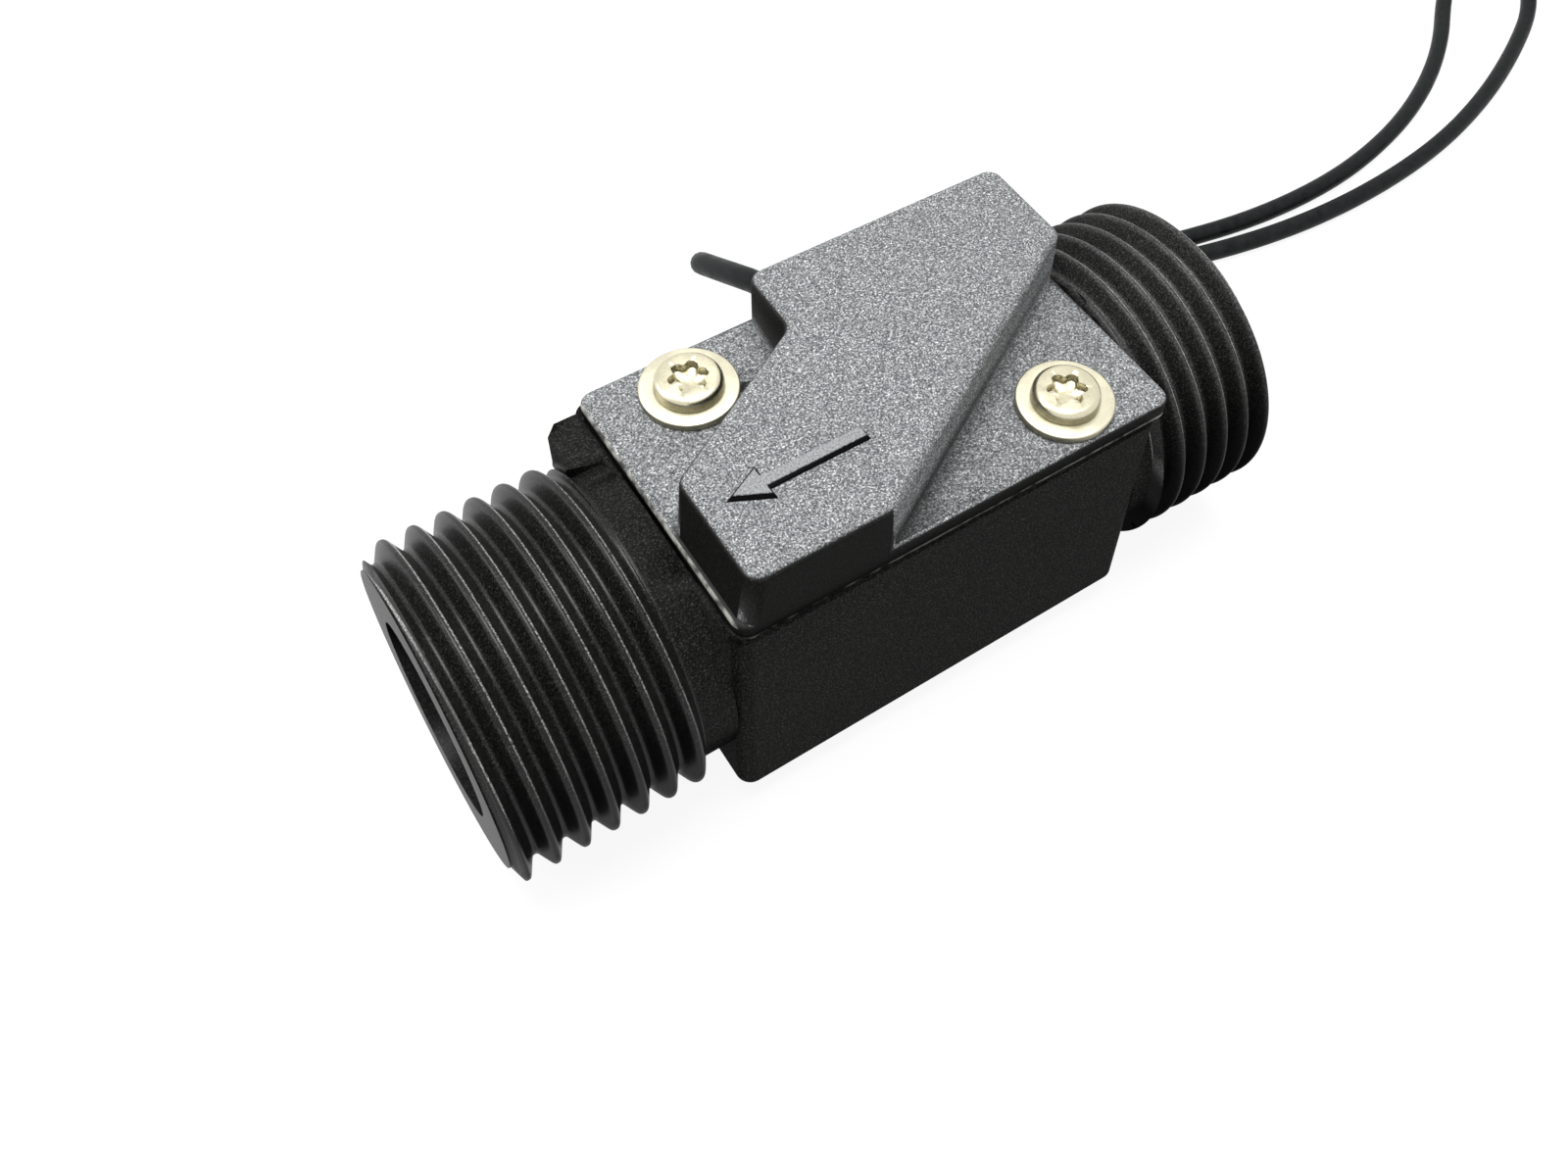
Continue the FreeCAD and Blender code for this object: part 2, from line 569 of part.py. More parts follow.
def make_screws():
    """Button-head cover screws, each with a flat washer under its head."""
    screws, washers = [], []
    seat = f"({PLATE_TOP} + Sizes.washer_thickness)"
    for number, x, y in screw_places():
        washer_hole = "Sizes.screw_radius + Sizes.screw_hole_gap"
        washers.append(tube(f"Washer{number}", "Sizes.washer_radius", washer_hole,
                            "Sizes.washer_thickness", (x, y, PLATE_TOP)))
        shank_length = f"{seat} - Sizes.axis_to_top + Sizes.screw_grip"
        shank = rod(f"Shank{number}", "Sizes.screw_radius", shank_length,
                    (x, y, "Sizes.axis_to_top - Sizes.screw_grip"))
        rim = rod(f"HeadRim{number}", "Sizes.screw_head_radius", "Sizes.screw_rim_height",
                  (x, y, seat))
        dome = doc.addObject("Part::Cone", f"HeadDome{number}")
        dome.setExpression("Radius1", "Sizes.screw_head_radius")
        dome.setExpression("Radius2", "Sizes.screw_head_radius * 0.81")
        dome.setExpression("Height", "Sizes.screw_head_height - Sizes.screw_rim_height")
        place(dome, x, y, f"{seat} + Sizes.screw_rim_height", UPRIGHT)
        screws.append(fuse(f"Screw{number}", [shank, rim, dome]))
    node(group("CoverScrews", screws), "cover_screws")
    node(group("ScrewWashers", washers), "screw_washers")


def make_seat_ring():
    """The valve seat ring pressed into the flow passage, flared on its upstream side."""
    body = doc.addObject("PartDesign::Body", "SeatRing")
    start = f"({SEAT_FACE} - Sizes.seat_length)"
    outside = "Sizes.bore_radius - Sizes.fit_gap"
    profile = outline(new_sketch(body, "SeatProfile", "XZ_Plane"), (
        (start, "Sizes.seat_hole_radius + Sizes.seat_flare"),
        (start, outside),
        (SEAT_FACE, outside),
        (SEAT_FACE, "Sizes.seat_hole_radius"),
        (f"{SEAT_FACE} - Sizes.seat_length / 2", "Sizes.seat_hole_radius"),
    ))
    turned(body, "Revolution", "SeatTurned", profile, "H_Axis")
    return node(body, "seat_ring")


def make_carrier():
    """The hinge carrier: a plate under the cover with two ears that hold the hinge pin."""
    plate = rod("CarrierPlate", CARRIER_RADIUS, "Sizes.carrier_thickness - Sizes.fit_gap",
                (MIDDLE, "0", CARRIER_BOTTOM))
    pieces = [plate]
    for side, start in (("Front", EAR_INSIDE), ("Rear", f"(-{EAR_OUTSIDE})")):
        ear_size = (f"2 * {EYE_RADIUS}", "Sizes.ear_thickness", f"{CARRIER_BOTTOM} - {HINGE_Z}")
        pieces.append(box(f"Ear{side}", ear_size, (f"{HINGE_X} - {EYE_RADIUS}", start, HINGE_Z)))
        pieces.append(rod(f"EarEnd{side}", EYE_RADIUS, "Sizes.ear_thickness",
                          (HINGE_X, start, HINGE_Z), ALONG_Y))
    pin_length, pin_start = f"2 * {EAR_OUTSIDE}", (HINGE_X, f"-{EAR_OUTSIDE}", HINGE_Z)
    hole = rod("EarHoles", "Sizes.pin_radius + Sizes.fit_gap", pin_length, pin_start, ALONG_Y)
    node(cut("HingeCarrier", fuse("CarrierSolid", pieces), hole), "hinge_carrier")
    node(rod("HingePin", "Sizes.pin_radius", pin_length, pin_start, ALONG_Y), "hinge_pin")


def make_flap():
    """The hinged flap with its two knuckles, shoulders that clear the ears, and the magnet's boss."""
    half_span = "(Sizes.knuckle_span / 2)"
    boss_length = "Sizes.magnet_length + Sizes.magnet_cap"
    disc = rod("FlapDisc", FLAP_RADIUS, "Sizes.flap_thickness", (FLAP_FACE, "0", "0"), ALONG_X)
    shoulder_z = f"({HINGE_Z} - {EYE_RADIUS} - Sizes.shoulder_gap)"
    shoulders = box("FlapShoulders", ("Sizes.flap_thickness", f"2 * {FLAP_RADIUS}", EYE_RADIUS),
                    (FLAP_FACE, f"-{FLAP_RADIUS}", shoulder_z))
    arm = box("FlapArm", ("Sizes.flap_thickness", "Sizes.knuckle_span", HINGE_Z),
              (FLAP_FACE, f"-{half_span}", "0"))
    knuckle = rod("FlapKnuckle", EYE_RADIUS, "Sizes.knuckle_span",
                  (HINGE_X, f"-{half_span}", HINGE_Z), ALONG_Y)
    boss = rod("MagnetBoss", BOSS_RADIUS, boss_length, (FLAP_BACK, "0", MAGNET_Z), ALONG_X)
    slot_drop = f"({EYE_RADIUS} + Sizes.knuckle_gap)"
    slot = box("SpringSlot", (f"{HINGE_X} + {EYE_RADIUS} - {FLAP_FACE}", "Sizes.spring_slot",
                              f"{slot_drop} + {EYE_RADIUS}"),
               (FLAP_FACE, "-Sizes.spring_slot / 2", f"{HINGE_Z} - {slot_drop}"))
    pin_hole = rod("KnuckleHole", "Sizes.pin_radius + Sizes.pin_running_gap", "Sizes.knuckle_span",
                   (HINGE_X, f"-{half_span}", HINGE_Z), ALONG_Y)
    magnet_hole = rod("MagnetHole", "Sizes.magnet_radius + Sizes.fit_gap", boss_length,
                      (FLAP_BACK, "0", MAGNET_Z), ALONG_X)
    solid = fuse("FlapSolid", [cut("FlapPlate", disc, shoulders), arm, knuckle, boss])
    node(cut("Flap", solid, fuse("FlapCuts", [slot, pin_hole, magnet_hole])), "flap")
    magnet = rod("FlapMagnet", "Sizes.magnet_radius", "Sizes.magnet_length",
                 (FLAP_BACK, "0", MAGNET_Z), ALONG_X)
    node(magnet, "flap_magnet")
    cap = rod("MagnetCap", "Sizes.magnet_radius", "Sizes.magnet_cap",
              (MAGNET_END, "0", MAGNET_Z), ALONG_X)
    node(cap, "magnet_cap")


def make_spring():
    """The torsion spring on the hinge pin. Its two legs lie on one slanting line that touches the
    coils: the upper one ends under the carrier plate, the lower one on the flap's downstream face."""
    radius, wire = value("Sizes.spring_coil_radius"), value("Sizes.spring_wire_radius")
    gap = value("Sizes.fit_gap")
    pitch = (value("Sizes.spring_slot") - 4 * wire) / SPRING_TURNS
    rise = pitch * SPRING_TURNS
    room_up = value(f"{CARRIER_BOTTOM} - {HINGE_Z}") - wire - gap
    foot_x = value(f"{FLAP_BACK} - {HINGE_X}") + wire + gap
    foot_z = value(f"{MAGNET_Z} + {BOSS_RADIUS} - {HINGE_Z} + Sizes.spring_foot") + wire
    reach = math.hypot(foot_x, foot_z)
    slope = math.atan2(-foot_z, foot_x) - math.acos(radius / reach)
    upper_leg = (room_up + radius * math.sin(slope)) / math.cos(slope)
    lower_leg = math.sqrt(reach ** 2 - radius ** 2)
    coil = Part.makeHelix(pitch, rise, radius)
    coil.rotate(Vector(), Vector(0, 0, 1), math.degrees(slope))
    touch = Vector(math.cos(slope), math.sin(slope), 0) * radius
    heading = Vector(-math.sin(slope), math.cos(slope), 0)
    top = touch - heading * upper_leg
    far_touch = touch + Vector(0, 0, rise)
    path = Part.Wire([Part.makeLine(top, touch)] + coil.Edges
                     + [Part.makeLine(far_touch, far_touch + heading * lower_leg)])
    section = Part.Wire([Part.Circle(top, heading, wire).toShape()])
    feature = doc.addObject("Part::Feature", "ReturnSpring")
    feature.Shape = path.makePipeShell([section], True, True)
    feature.Placement = Placement(Vector(value(HINGE_X), -rise / 2, value(HINGE_Z)), ALONG_Y)
    return node(feature, "return_spring")


def make_reed():
    """The reed switch in its glass, its tails, sleeves and crimps, and the resin that holds them."""
    outer_tail = "Sizes.crimp_length + Sizes.glass_from_crimp"
    strip_end = f"({GLASS_START} + Sizes.glass_length / 2 + Sizes.blade_overlap / 2)"
    strip_start = f"({GLASS_START} + Sizes.glass_length / 2 - Sizes.blade_overlap / 2)"
    half_gap = "(Sizes.contact_gap / 2)"
    seal_in = "Sizes.blade_width"
    near_tail = rod("NearTail", "Sizes.blade_radius", f"{outer_tail} + {seal_in}",
                    (REED_X, LEAD_START, REED_Z), ALONG_Y)
    near_size = ("Sizes.blade_width", f"{strip_end} - {GLASS_START}", "Sizes.blade_thickness")
    near_strip = box("NearStrip", near_size,
                     (f"{REED_X} - Sizes.blade_width / 2", GLASS_START, f"{REED_Z} + {half_gap}"))
    near = node(fuse("ReedBladeNear", [near_tail, near_strip]), "reed_blade_near")

    far_size = ("Sizes.blade_width", f"{GLASS_END} - {strip_start}", "Sizes.blade_thickness")
    far_strip = box("FarStrip", far_size,
                    (f"{REED_X} - Sizes.blade_width / 2", strip_start,
                     f"{REED_Z} - {half_gap} - Sizes.blade_thickness"))
    reed_x, return_x, height = value(REED_X), value(RETURN_X), value(REED_Z)
    bend_y = value(TAIL_TURN)
    bend_radius = value("Sizes.lead_spacing / 2")
    tail_start = Vector(reed_x, value(f"{GLASS_END} - {seal_in}"), height)
    bend_start, bend_end = Vector(reed_x, bend_y, height), Vector(return_x, bend_y, height)
    bend_top = Vector((reed_x + return_x) / 2, bend_y + bend_radius, height)
    path = Part.Wire([
        Part.makeLine(tail_start, bend_start),
        Part.Arc(bend_start, bend_top, bend_end).toShape(),
        Part.makeLine(bend_end, Vector(return_x, value(LEAD_START), height)),
    ])
    tail_radius = value("Sizes.blade_radius")
    section = Part.Wire([Part.Circle(tail_start, Vector(0, 1, 0), tail_radius).toShape()])
    far_tail = doc.addObject("Part::Feature", "FarTail")
    far_tail.Shape = path.makePipeShell([section], True, True)
    far = node(fuse("ReedBladeFar", [far_strip, far_tail]), "reed_blade_far")

    glass_tube = rod("GlassTube", "Sizes.glass_radius", "Sizes.glass_length",
                     (REED_X, GLASS_START, REED_Z), ALONG_Y)
    blades = fuse("BothBlades", [near, far])
    glass = node(cut("ReedGlass", glass_tube, blades), "reed_glass")

    crimps = group("CrimpSleeves", [
        tube(f"Crimp{name}", "Sizes.crimp_radius", "Sizes.blade_radius", "Sizes.crimp_length",
             (x, LEAD_START, REED_Z), ALONG_Y)
        for name, x in (("Near", REED_X), ("Far", RETURN_X))])
    node(crimps, "crimp_sleeves")
    sleeve = tube("TailSleeve", "Sizes.blade_radius + Sizes.sleeve_wall", "Sizes.blade_radius",
                  "Sizes.glass_length - Sizes.sleeve_short",
                  (RETURN_X, GLASS_START, REED_Z), ALONG_Y)
    node(sleeve, "tail_sleeve")

    lead_room = [
        rod(f"LeadRoom{name}", "Sizes.lead_radius", "Sizes.lead_grip", (x, REAR, REED_Z), ALONG_Y)
        for name, x in (("Near", REED_X), ("Far", RETURN_X))]
    inside = fuse("InResin", [glass_tube, near, far, crimps, sleeve] + lead_room)
    node(cut("PottingResin", pocket_space("ResinSpace"), inside), "potting_resin")
    return glass


def cord_path(name, points):
    """Straight runs joined by tangent arcs, each arc as large as its two runs allow."""
    edges, radii = [], []
    start = points[0]
    for before, corner, after in zip(points, points[1:], points[2:]):
        come, leave = (corner - before), (after - corner)
        tangent = 0.45 * min(come.Length, leave.Length)
        come, leave = come.normalize(), leave.normalize()
        turn = come.getAngle(leave)
        radius = tangent / math.tan(turn / 2)
        inward = (leave - come).normalize()
        arc_start, arc_end = corner - come * tangent, corner + leave * tangent
        arc_top = corner + inward * (math.hypot(tangent, radius) - radius)
        edges += [Part.makeLine(start, arc_start), Part.Arc(arc_start, arc_top, arc_end).toShape()]
        radii.append(radius)
        start = arc_end
    edges.append(Part.makeLine(start, points[-1]))
    path = Part.Wire(edges)
    print(name, "length", round(path.Length, 1), "radii", [round(r, 1) for r in radii])
    return path


def make_lead(label, name, exit_x, route, ring):
    """One insulated lead, from the resin at the cover's rear wall to its coil."""
    radius = value("Sizes.lead_radius")
    start = Vector(value(exit_x), value(LEAD_START), value(REED_Z))
    out = Vector(start.x, value(REAR) - STRAIGHT_OUT[label], start.z)
    lying = value(FLOOR) + radius
    points = [start, out] + [Vector(x, y, lying + height) for x, y, height in route]
    path = cord_path(label, points)
    section = Part.Wire([Part.Circle(start, Vector(0, -1, 0), radius).toShape()])
    tube_shape = path.makePipeShell([section], True, True)
    expected = math.pi * radius ** 2 * path.Length
    if abs(tube_shape.Volume / expected - 1) > 0.01:
        raise RuntimeError(f"{label} has volume {tube_shape.Volume:.1f} and not {expected:.1f}")
    swept = doc.addObject("Part::Feature", name + "Tube")
    swept.Shape = tube_shape
    return node(cut(name, swept, ring), label)


def make_leads():
    """Both leads, their put-away coils one on the other, the tie and the tinned ends."""
    centre_x, centre_y = (str(number) for number in COIL_CENTRE)
    half_wide = "(2 * Sizes.lead_radius)"
    tall = "(4 * Sizes.lead_radius)"
    bottom = f"({FLOOR} + Sizes.tie_thickness)"
    rings, ends = {}, []
    above = f"({bottom} + {tall})"
    for label, name, level in (("lead_2", "LowerCoil", bottom), ("lead_1", "UpperCoil", above)):
        rings[label] = tube(name, f"Sizes.coil_radius + {half_wide}", f"Sizes.coil_radius - {half_wide}",
                            tall, (centre_x, centre_y, level))
        node(rings[label], label + "_coil")
        angle = math.radians(COIL_END_ANGLE[label])
        heading = Rotation(Vector(0, 0, 1), COIL_END_ANGLE[label] - 90).multiply(ALONG_X)
        outer_turn = "(Sizes.coil_radius + Sizes.lead_radius)"
        inside = f"sqrt((Sizes.coil_radius + {half_wide})^2 - {outer_turn}^2)"
        end = rod(f"End{name}", "Sizes.tinned_radius", f"Sizes.tinned_length + {inside}",
                  (f"{centre_x} + {outer_turn} * {math.cos(angle)}",
                   f"{centre_y} + {outer_turn} * {math.sin(angle)}",
                   f"{level} + 3 * Sizes.lead_radius"), heading)
        ends.append(cut(f"Tinned{name}", end, rings[label]))
    node(group("TinnedEnds", ends), "tinned_ends")
    make_lead("lead_1", "LeadOne", RETURN_X, LEAD_1_ROUTE, rings["lead_1"])
    make_lead("lead_2", "LeadTwo", REED_X, LEAD_2_ROUTE, rings["lead_2"])

    tie_turn = Rotation(Vector(0, 0, 1), TIE_ANGLE)
    tie_angle = math.radians(TIE_ANGLE)
    tie_pieces = []
    walls = (("TieOutside", "Sizes.tie_thickness", FLOOR), ("TieInside", "0", bottom))
    for name, wall, foot in walls:
        wide = f"(2 * {half_wide} + 2 * {wall})"
        piece = doc.addObject("Part::Box", name)
        piece.setExpression("Length", wide)
        piece.setExpression("Width", "Sizes.tie_width")
        piece.setExpression("Height", f"2 * {tall} + 2 * {wall}")
        reach = f"(Sizes.coil_radius - {wide} / 2)"
        across = "(Sizes.tie_width / 2)"
        x = f"{centre_x} + {reach} * {math.cos(tie_angle)} + {across} * {math.sin(tie_angle)}"
        y = f"{centre_y} + {reach} * {math.sin(tie_angle)} - {across} * {math.cos(tie_angle)}"
        place(piece, x, y, foot, tie_turn)
        tie_pieces.append(piece)
    loop = cut("TieLoop", tie_pieces[0], tie_pieces[1])
    node(cut("CoilTie", loop, fuse("TiedCoils", list(rings.values()))), "coil_tie")


make_body()
make_cover()
make_seal()
make_screws()
make_seat_ring()
make_carrier()
make_flap()
make_spring()
make_reed()
make_leads()
doc.recompute()

faulty = [part.Name for part in doc.Objects if "Invalid" in part.State or "Error" in part.State]
faulty += [part.Label for part in nodes if part.Shape.isNull() or not part.Shape.isValid()]
if faulty:
    raise RuntimeError(f"these objects failed: {faulty}")
os.makedirs("parts", exist_ok=True)
for part in nodes:
    part.Shape.exportStep(f"parts/{part.Label}.step")
    print(part.Label, len(part.Shape.Solids), "solids", round(part.Shape.Volume, 2), "mm3")
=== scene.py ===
import json
import math

import bmesh
import bpy
import numpy as np
from mathutils import Matrix, Vector


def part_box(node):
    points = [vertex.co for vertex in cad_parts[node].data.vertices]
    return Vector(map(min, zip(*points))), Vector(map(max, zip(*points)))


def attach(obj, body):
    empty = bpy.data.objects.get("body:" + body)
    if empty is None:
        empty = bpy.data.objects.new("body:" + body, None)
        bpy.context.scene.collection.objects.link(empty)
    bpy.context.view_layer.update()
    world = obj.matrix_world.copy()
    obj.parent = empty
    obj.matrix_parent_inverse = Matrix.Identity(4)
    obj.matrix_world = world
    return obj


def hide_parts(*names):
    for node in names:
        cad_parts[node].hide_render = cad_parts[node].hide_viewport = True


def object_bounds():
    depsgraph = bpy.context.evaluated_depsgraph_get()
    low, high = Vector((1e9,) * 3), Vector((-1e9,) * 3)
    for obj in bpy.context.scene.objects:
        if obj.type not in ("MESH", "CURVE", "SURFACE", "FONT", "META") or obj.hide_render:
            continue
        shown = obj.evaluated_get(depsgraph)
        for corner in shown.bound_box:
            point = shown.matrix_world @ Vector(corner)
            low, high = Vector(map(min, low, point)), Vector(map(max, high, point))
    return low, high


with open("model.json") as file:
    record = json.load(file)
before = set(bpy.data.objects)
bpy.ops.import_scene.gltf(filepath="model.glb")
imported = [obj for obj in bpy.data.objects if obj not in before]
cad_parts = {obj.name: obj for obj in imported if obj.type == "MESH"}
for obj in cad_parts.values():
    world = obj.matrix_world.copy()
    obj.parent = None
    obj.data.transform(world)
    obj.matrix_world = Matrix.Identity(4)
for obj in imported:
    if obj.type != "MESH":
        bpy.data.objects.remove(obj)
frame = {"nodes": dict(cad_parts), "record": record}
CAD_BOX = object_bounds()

# Looks of an in-line flow switch. Lengths are metres, sizes are written as millimetres times MM.
MM = 0.001
TURN = 2 * math.pi
NODES = frame["nodes"]
MOUNTS = {mount["name"]: mount for mount in frame["record"]["mounts"]}

# Places read from the frame
INLET_THREAD = MOUNTS["inlet_thread"]
OUTLET_THREAD = MOUNTS["outlet_thread"]
THREAD_RADIUS = INLET_THREAD["dims"]["r_mm"] * MM
INLET_END = INLET_THREAD["dims"]["length_mm"] * MM
OUTLET_END = OUTLET_THREAD["pos_m"][0]
OUTLET_START = OUTLET_END - OUTLET_THREAD["dims"]["length_mm"] * MM
PLATE_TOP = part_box("screw_washers")[0].z
HEAD_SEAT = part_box("screw_washers")[1].z
HEAD_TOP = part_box("cover_screws")[1].z
SCREW_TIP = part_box("cover_screws")[0].z
COVER_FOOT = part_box("cover")[0].z
COVER_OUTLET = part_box("cover")[1].x
FLOOR = CAD_BOX[0].z

# Pipe threads
THREAD_ROOT_RADIUS = 9.3155 * MM
THREAD_PITCH = 1.814 * MM
THREAD_STEPS = 22
THREAD_COLUMNS = 160
CREST_WORN = 0.05 * MM
ROOT_FILLED = 0.03 * MM
FLANK_STEEPNESS = 1.5
CREST_HOLD = 8
INLET_CREST = 0.09 * MM
OUTLET_CREST = 51.82 * MM
CUT_PAST_END = 0.75 * MM
CUT_PAST_THREAD = 0.25 * MM
CUTTER_WALL = 2 * MM

# Screws and washers
WASHER_RADIUS = 3.0 * MM
WASHER_HOLE = 1.45 * MM
WASHER_CORNER = 0.11 * MM
SCREW_RADIUS = 1.25 * MM
SCREW_PITCH = 0.5 * MM
SCREW_THREAD_DEPTH = 0.12 * MM
SCREW_TIP_RADIUS = 0.7 * MM
SCREW_NECK = SCREW_RADIUS - 0.06 * MM
SCREW_TWISTS = (0.2, 0.5)
HEAD_RADIUS = 2.1 * MM
DOME_RADIUS = 1.66 * MM
DOME_ROUND = 0.40 * MM
DOME_HEIGHT = 0.42 * MM

# The raised flow arrow
ARROW_TAIL = 28.55 * MM
ARROW_LINE = 4.35 * MM
ARROW_LENGTH = 8.25 * MM
ARROW_HEAD_LENGTH = 1.9 * MM
ARROW_HEAD_HALF = 0.95 * MM
ARROW_SHAFT_HALF = 0.35 * MM
ARROW_HEIGHT = 0.3 * MM
ARROW_DRAFT = 0.18 * MM
ARROW_EDGE = 0.03 * MM
ARROW_SUNK = 0.05 * MM
HOUSING_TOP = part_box("cover")[1].z - ARROW_HEIGHT

# Mould grain, the whitish edge band and the ledge
MOULD_GRAIN = 0.11 * MM
EDGE_BAND_HEIGHT = 0.18 * MM
LEDGE_WIDTH = 0.6 * MM

# Camera at the photograph's place
CAMERA_EYE = Vector((59.45, 46.53, 80.11)) * MM
CAMERA_TARGET = Vector((19.05, -6.11, 0.0)) * MM
CAMERA_ROLL = math.radians(4.309)
CAMERA_LENS = 35.56
CAMERA_SHIFT = (-0.066, -0.1237)
CAMERA_NEAR = 5 * MM

# Light and floor: a lamp has a place in millimetres, a size in metres and a power in watts
WORLD_LIGHT = 0.40
LAMPS = (("KeyBox", (30, -20, 330), 0.20, 1.3), ("SideBox", (260, -160, 160), 0.20, 0.35))
LAMP_TARGET = Vector((25, 0, 0)) * MM
FLOOR_HALF = 1.5
PAPER_GREY = 0.8
FLOOR_GLOW = 1.08
SHADOW_SHARE = 0.16

# Leads: routes are in millimetres, along the flow, across, and the height of the lead's middle
LEAD_RADIUS = 0.75 * MM
LEAD_EXIT_HEIGHT = 11.3
LYING = FLOOR / MM + 0.75
LEAD_1_ROUTE = (
    (26.35, -8.65, LEAD_EXIT_HEIGHT),
    (26.35, -9.9, LEAD_EXIT_HEIGHT),
    (26.82, -12.65, LYING + 19.72),
    (27.06, -18.59, LYING + 16.17),
    (20.44, -17.25, LYING + 10.45),
    (14.6, -18.3, LYING + 6.3),
    (8.0, -18.2, LYING + 2.9),
    (1.0, -17.3, LYING + 0.6),
    (-6.8, -15.7, LYING),
    (-14.8, -13.5, LYING),
    (-23.6, -11.9, LYING),
    (-33.0, -11.9, LYING),
    (-41.6, -13.7, LYING),
    (-48.8, -16.6, LYING),
    (-55.0, -20.4, LYING),
    (-60.3, -25.0, LYING),
    (-67.5, -30.6, LYING + 0.6),
    (-75.93, -36.32, LYING + 3.0),
    (-80.91, -36.75, LYING + 3.4),
)
LEAD_2_ROUTE = (
    (24.55, -8.65, LEAD_EXIT_HEIGHT),
    (24.55, -10.1, LYING + 20.7),
    (24.1, -12.3, LYING + 18.0),
    (23.0, -14.6, LYING + 14.3),
    (21.0, -15.9, LYING + 10.15),
    (15.6, -16.1, LYING + 6.2),
    (9.0, -16.2, LYING + 2.9),
    (1.4, -15.4, LYING + 0.6),
    (-8.6, -13.4, LYING),
    (-16.6, -10.9, LYING),
    (-25.4, -9.4, LYING),
    (-34.6, -9.2, LYING),
    (-44.1, -10.3, LYING),
    (-52.9, -12.8, LYING),
    (-60.8, -16.2, LYING),
    (-67.4, -19.9, LYING),
    (-72.1, -25.1, LYING),
    (-76.56, -30.16, LYING + 0.4),
)

# The put-away coils, in millimetres and degrees: two columns and two layers of turns each
COIL_CENTRE = np.array((-87.0, -28.0))
COIL_OUTER, COIL_INNER = 9.25, 7.75
COIL_LAYER = 1.5
COIL_POINTS = 16
COILS = {
    "lead_1": {"entry": -85.0, "end": 170.0, "height": LYING + 3.4},
    "lead_2": {"entry": -41.5, "end": 120.0, "height": LYING + 0.4},
}
STUB_POINTS = (1.8, 3.9)
TINNED_START = 3.5
TINNED_RADIUS = 0.45 * MM
TINNED_LENGTH = 5.4 * MM
TINNED_STRANDS = 7
TINNED_LAY = 7 * MM
TIE_ANGLE = math.radians(20.0)
TIE_HALF = 1.9 * MM
TIE_CORNER = 0.8 * MM
TIE_THICK = 0.4 * MM
TIE_WIDE = 2.4 * MM


# Mesh helpers

def new_object(name, data):
    """An object at the origin, linked to the scene."""
    item = bpy.data.objects.new(name, data)
    bpy.context.scene.collection.objects.link(item)
    return item


def around(columns):
    """Evenly spaced angles of one turn, as a row."""
    return np.linspace(0, TURN, columns, endpoint=False)[None, :]


def corner_turns(steps):
    """Angles round the four corners of a rounded rectangle, with so many on each quarter turn."""
    quarter = np.linspace(0, math.pi / 2, steps)
    return np.concatenate([quarter + corner * math.pi / 2 for corner in range(4)])


def grid_quads(rows, columns, close_rows):
    """Quads of a grid numbered row by row; columns always close, rows close where asked."""
    row = np.arange(rows if close_rows else rows - 1)[:, None]
    column = np.arange(columns)[None, :]
    below, beside = (row + 1) % rows, (column + 1) % columns
    corners = (row * columns + column, row * columns + beside,
               below * columns + beside, below * columns + column)
    return np.stack([corner.ravel() for corner in np.broadcast_arrays(*corners)], axis=1)


def closed_grid(points, close_rows=False):
    """Vertices and groups of faces of a (rows, columns, 3) grid; open rows get a flat cap on each end."""
    rows, columns = points.shape[:2]
    groups = [grid_quads(rows, columns, close_rows)]
    if not close_rows:
        first = np.arange(columns)[None, :]
        groups += [first[:, ::-1], first + (rows - 1) * columns]
    return points.reshape(-1, 3), groups


def mesh_piece(name, surfaces):
    """One mesh object from several (vertices, face groups) surfaces, with its faces turned outwards."""
    vertices, faces, count = [], [], 0
    for points, groups in surfaces:
        vertices.append(points)
        for group in groups:
            faces += (group + count).tolist()
        count += len(points)
    mesh = bpy.data.meshes.new(name)
    mesh.from_pydata(np.concatenate(vertices).tolist(), [], faces)
    shape = bmesh.new()
    shape.from_mesh(mesh)
    bmesh.ops.recalc_face_normals(shape, faces=shape.faces)
    shape.to_mesh(mesh)
    shape.free()
    return new_object(name, mesh)


def merged_copy(node, name):
    """A new piece with the CAD node's shape, its loose triangles joined at their corners."""
    shape = bmesh.new()
    shape.from_mesh(NODES[node].data)
    bmesh.ops.remove_doubles(shape, verts=shape.verts, dist=1e-7)
    mesh = bpy.data.meshes.new(name)
    shape.to_mesh(mesh)
    shape.free()
    return new_object(name, mesh)


def smooth(piece, degrees, weighted=False):
    """Smooth shading that breaks at edges sharper than the angle; weighted keeps flats flat."""
    piece.data.shade_smooth()
    piece.data.set_sharp_from_angle(angle=math.radians(degrees))
    if weighted:
        normals = piece.modifiers.new("FlatFaces", "WEIGHTED_NORMAL")
        normals.keep_sharp = True


def dress(piece, material, slot, *nodes):
    """Gives a finished piece its material, ties it to the housing and hides the nodes it stands for."""
    piece.data.materials.clear()
    piece.data.materials.append(material)
    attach(piece, "housing")
    if nodes:
        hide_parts(*nodes)
    return piece


def turned_points(radius, height, centre, columns):
    """A profile of radii and heights carried round an upright axis through centre: the point at
    angle a is centre + (r cos a, r sin a), and r may be one number per profile point or a table of
    one per point and angle."""
    angle = around(columns)
    radius = np.asarray(radius, float)
    if radius.ndim == 1:
        radius = radius[:, None]
    height = np.asarray(height, float)[:, None] + 0 * angle
    along, across = centre[0] + radius * np.cos(angle), centre[1] + radius * np.sin(angle)
    return np.stack([along, across, height], axis=-1)


# Materials

def tree_node(tree, kind, **inputs):
    """A new node with some of its inputs set."""
    node = tree.nodes.new(kind)
    for name, setting in inputs.items():
        node.inputs[name].default_value = setting
    return node


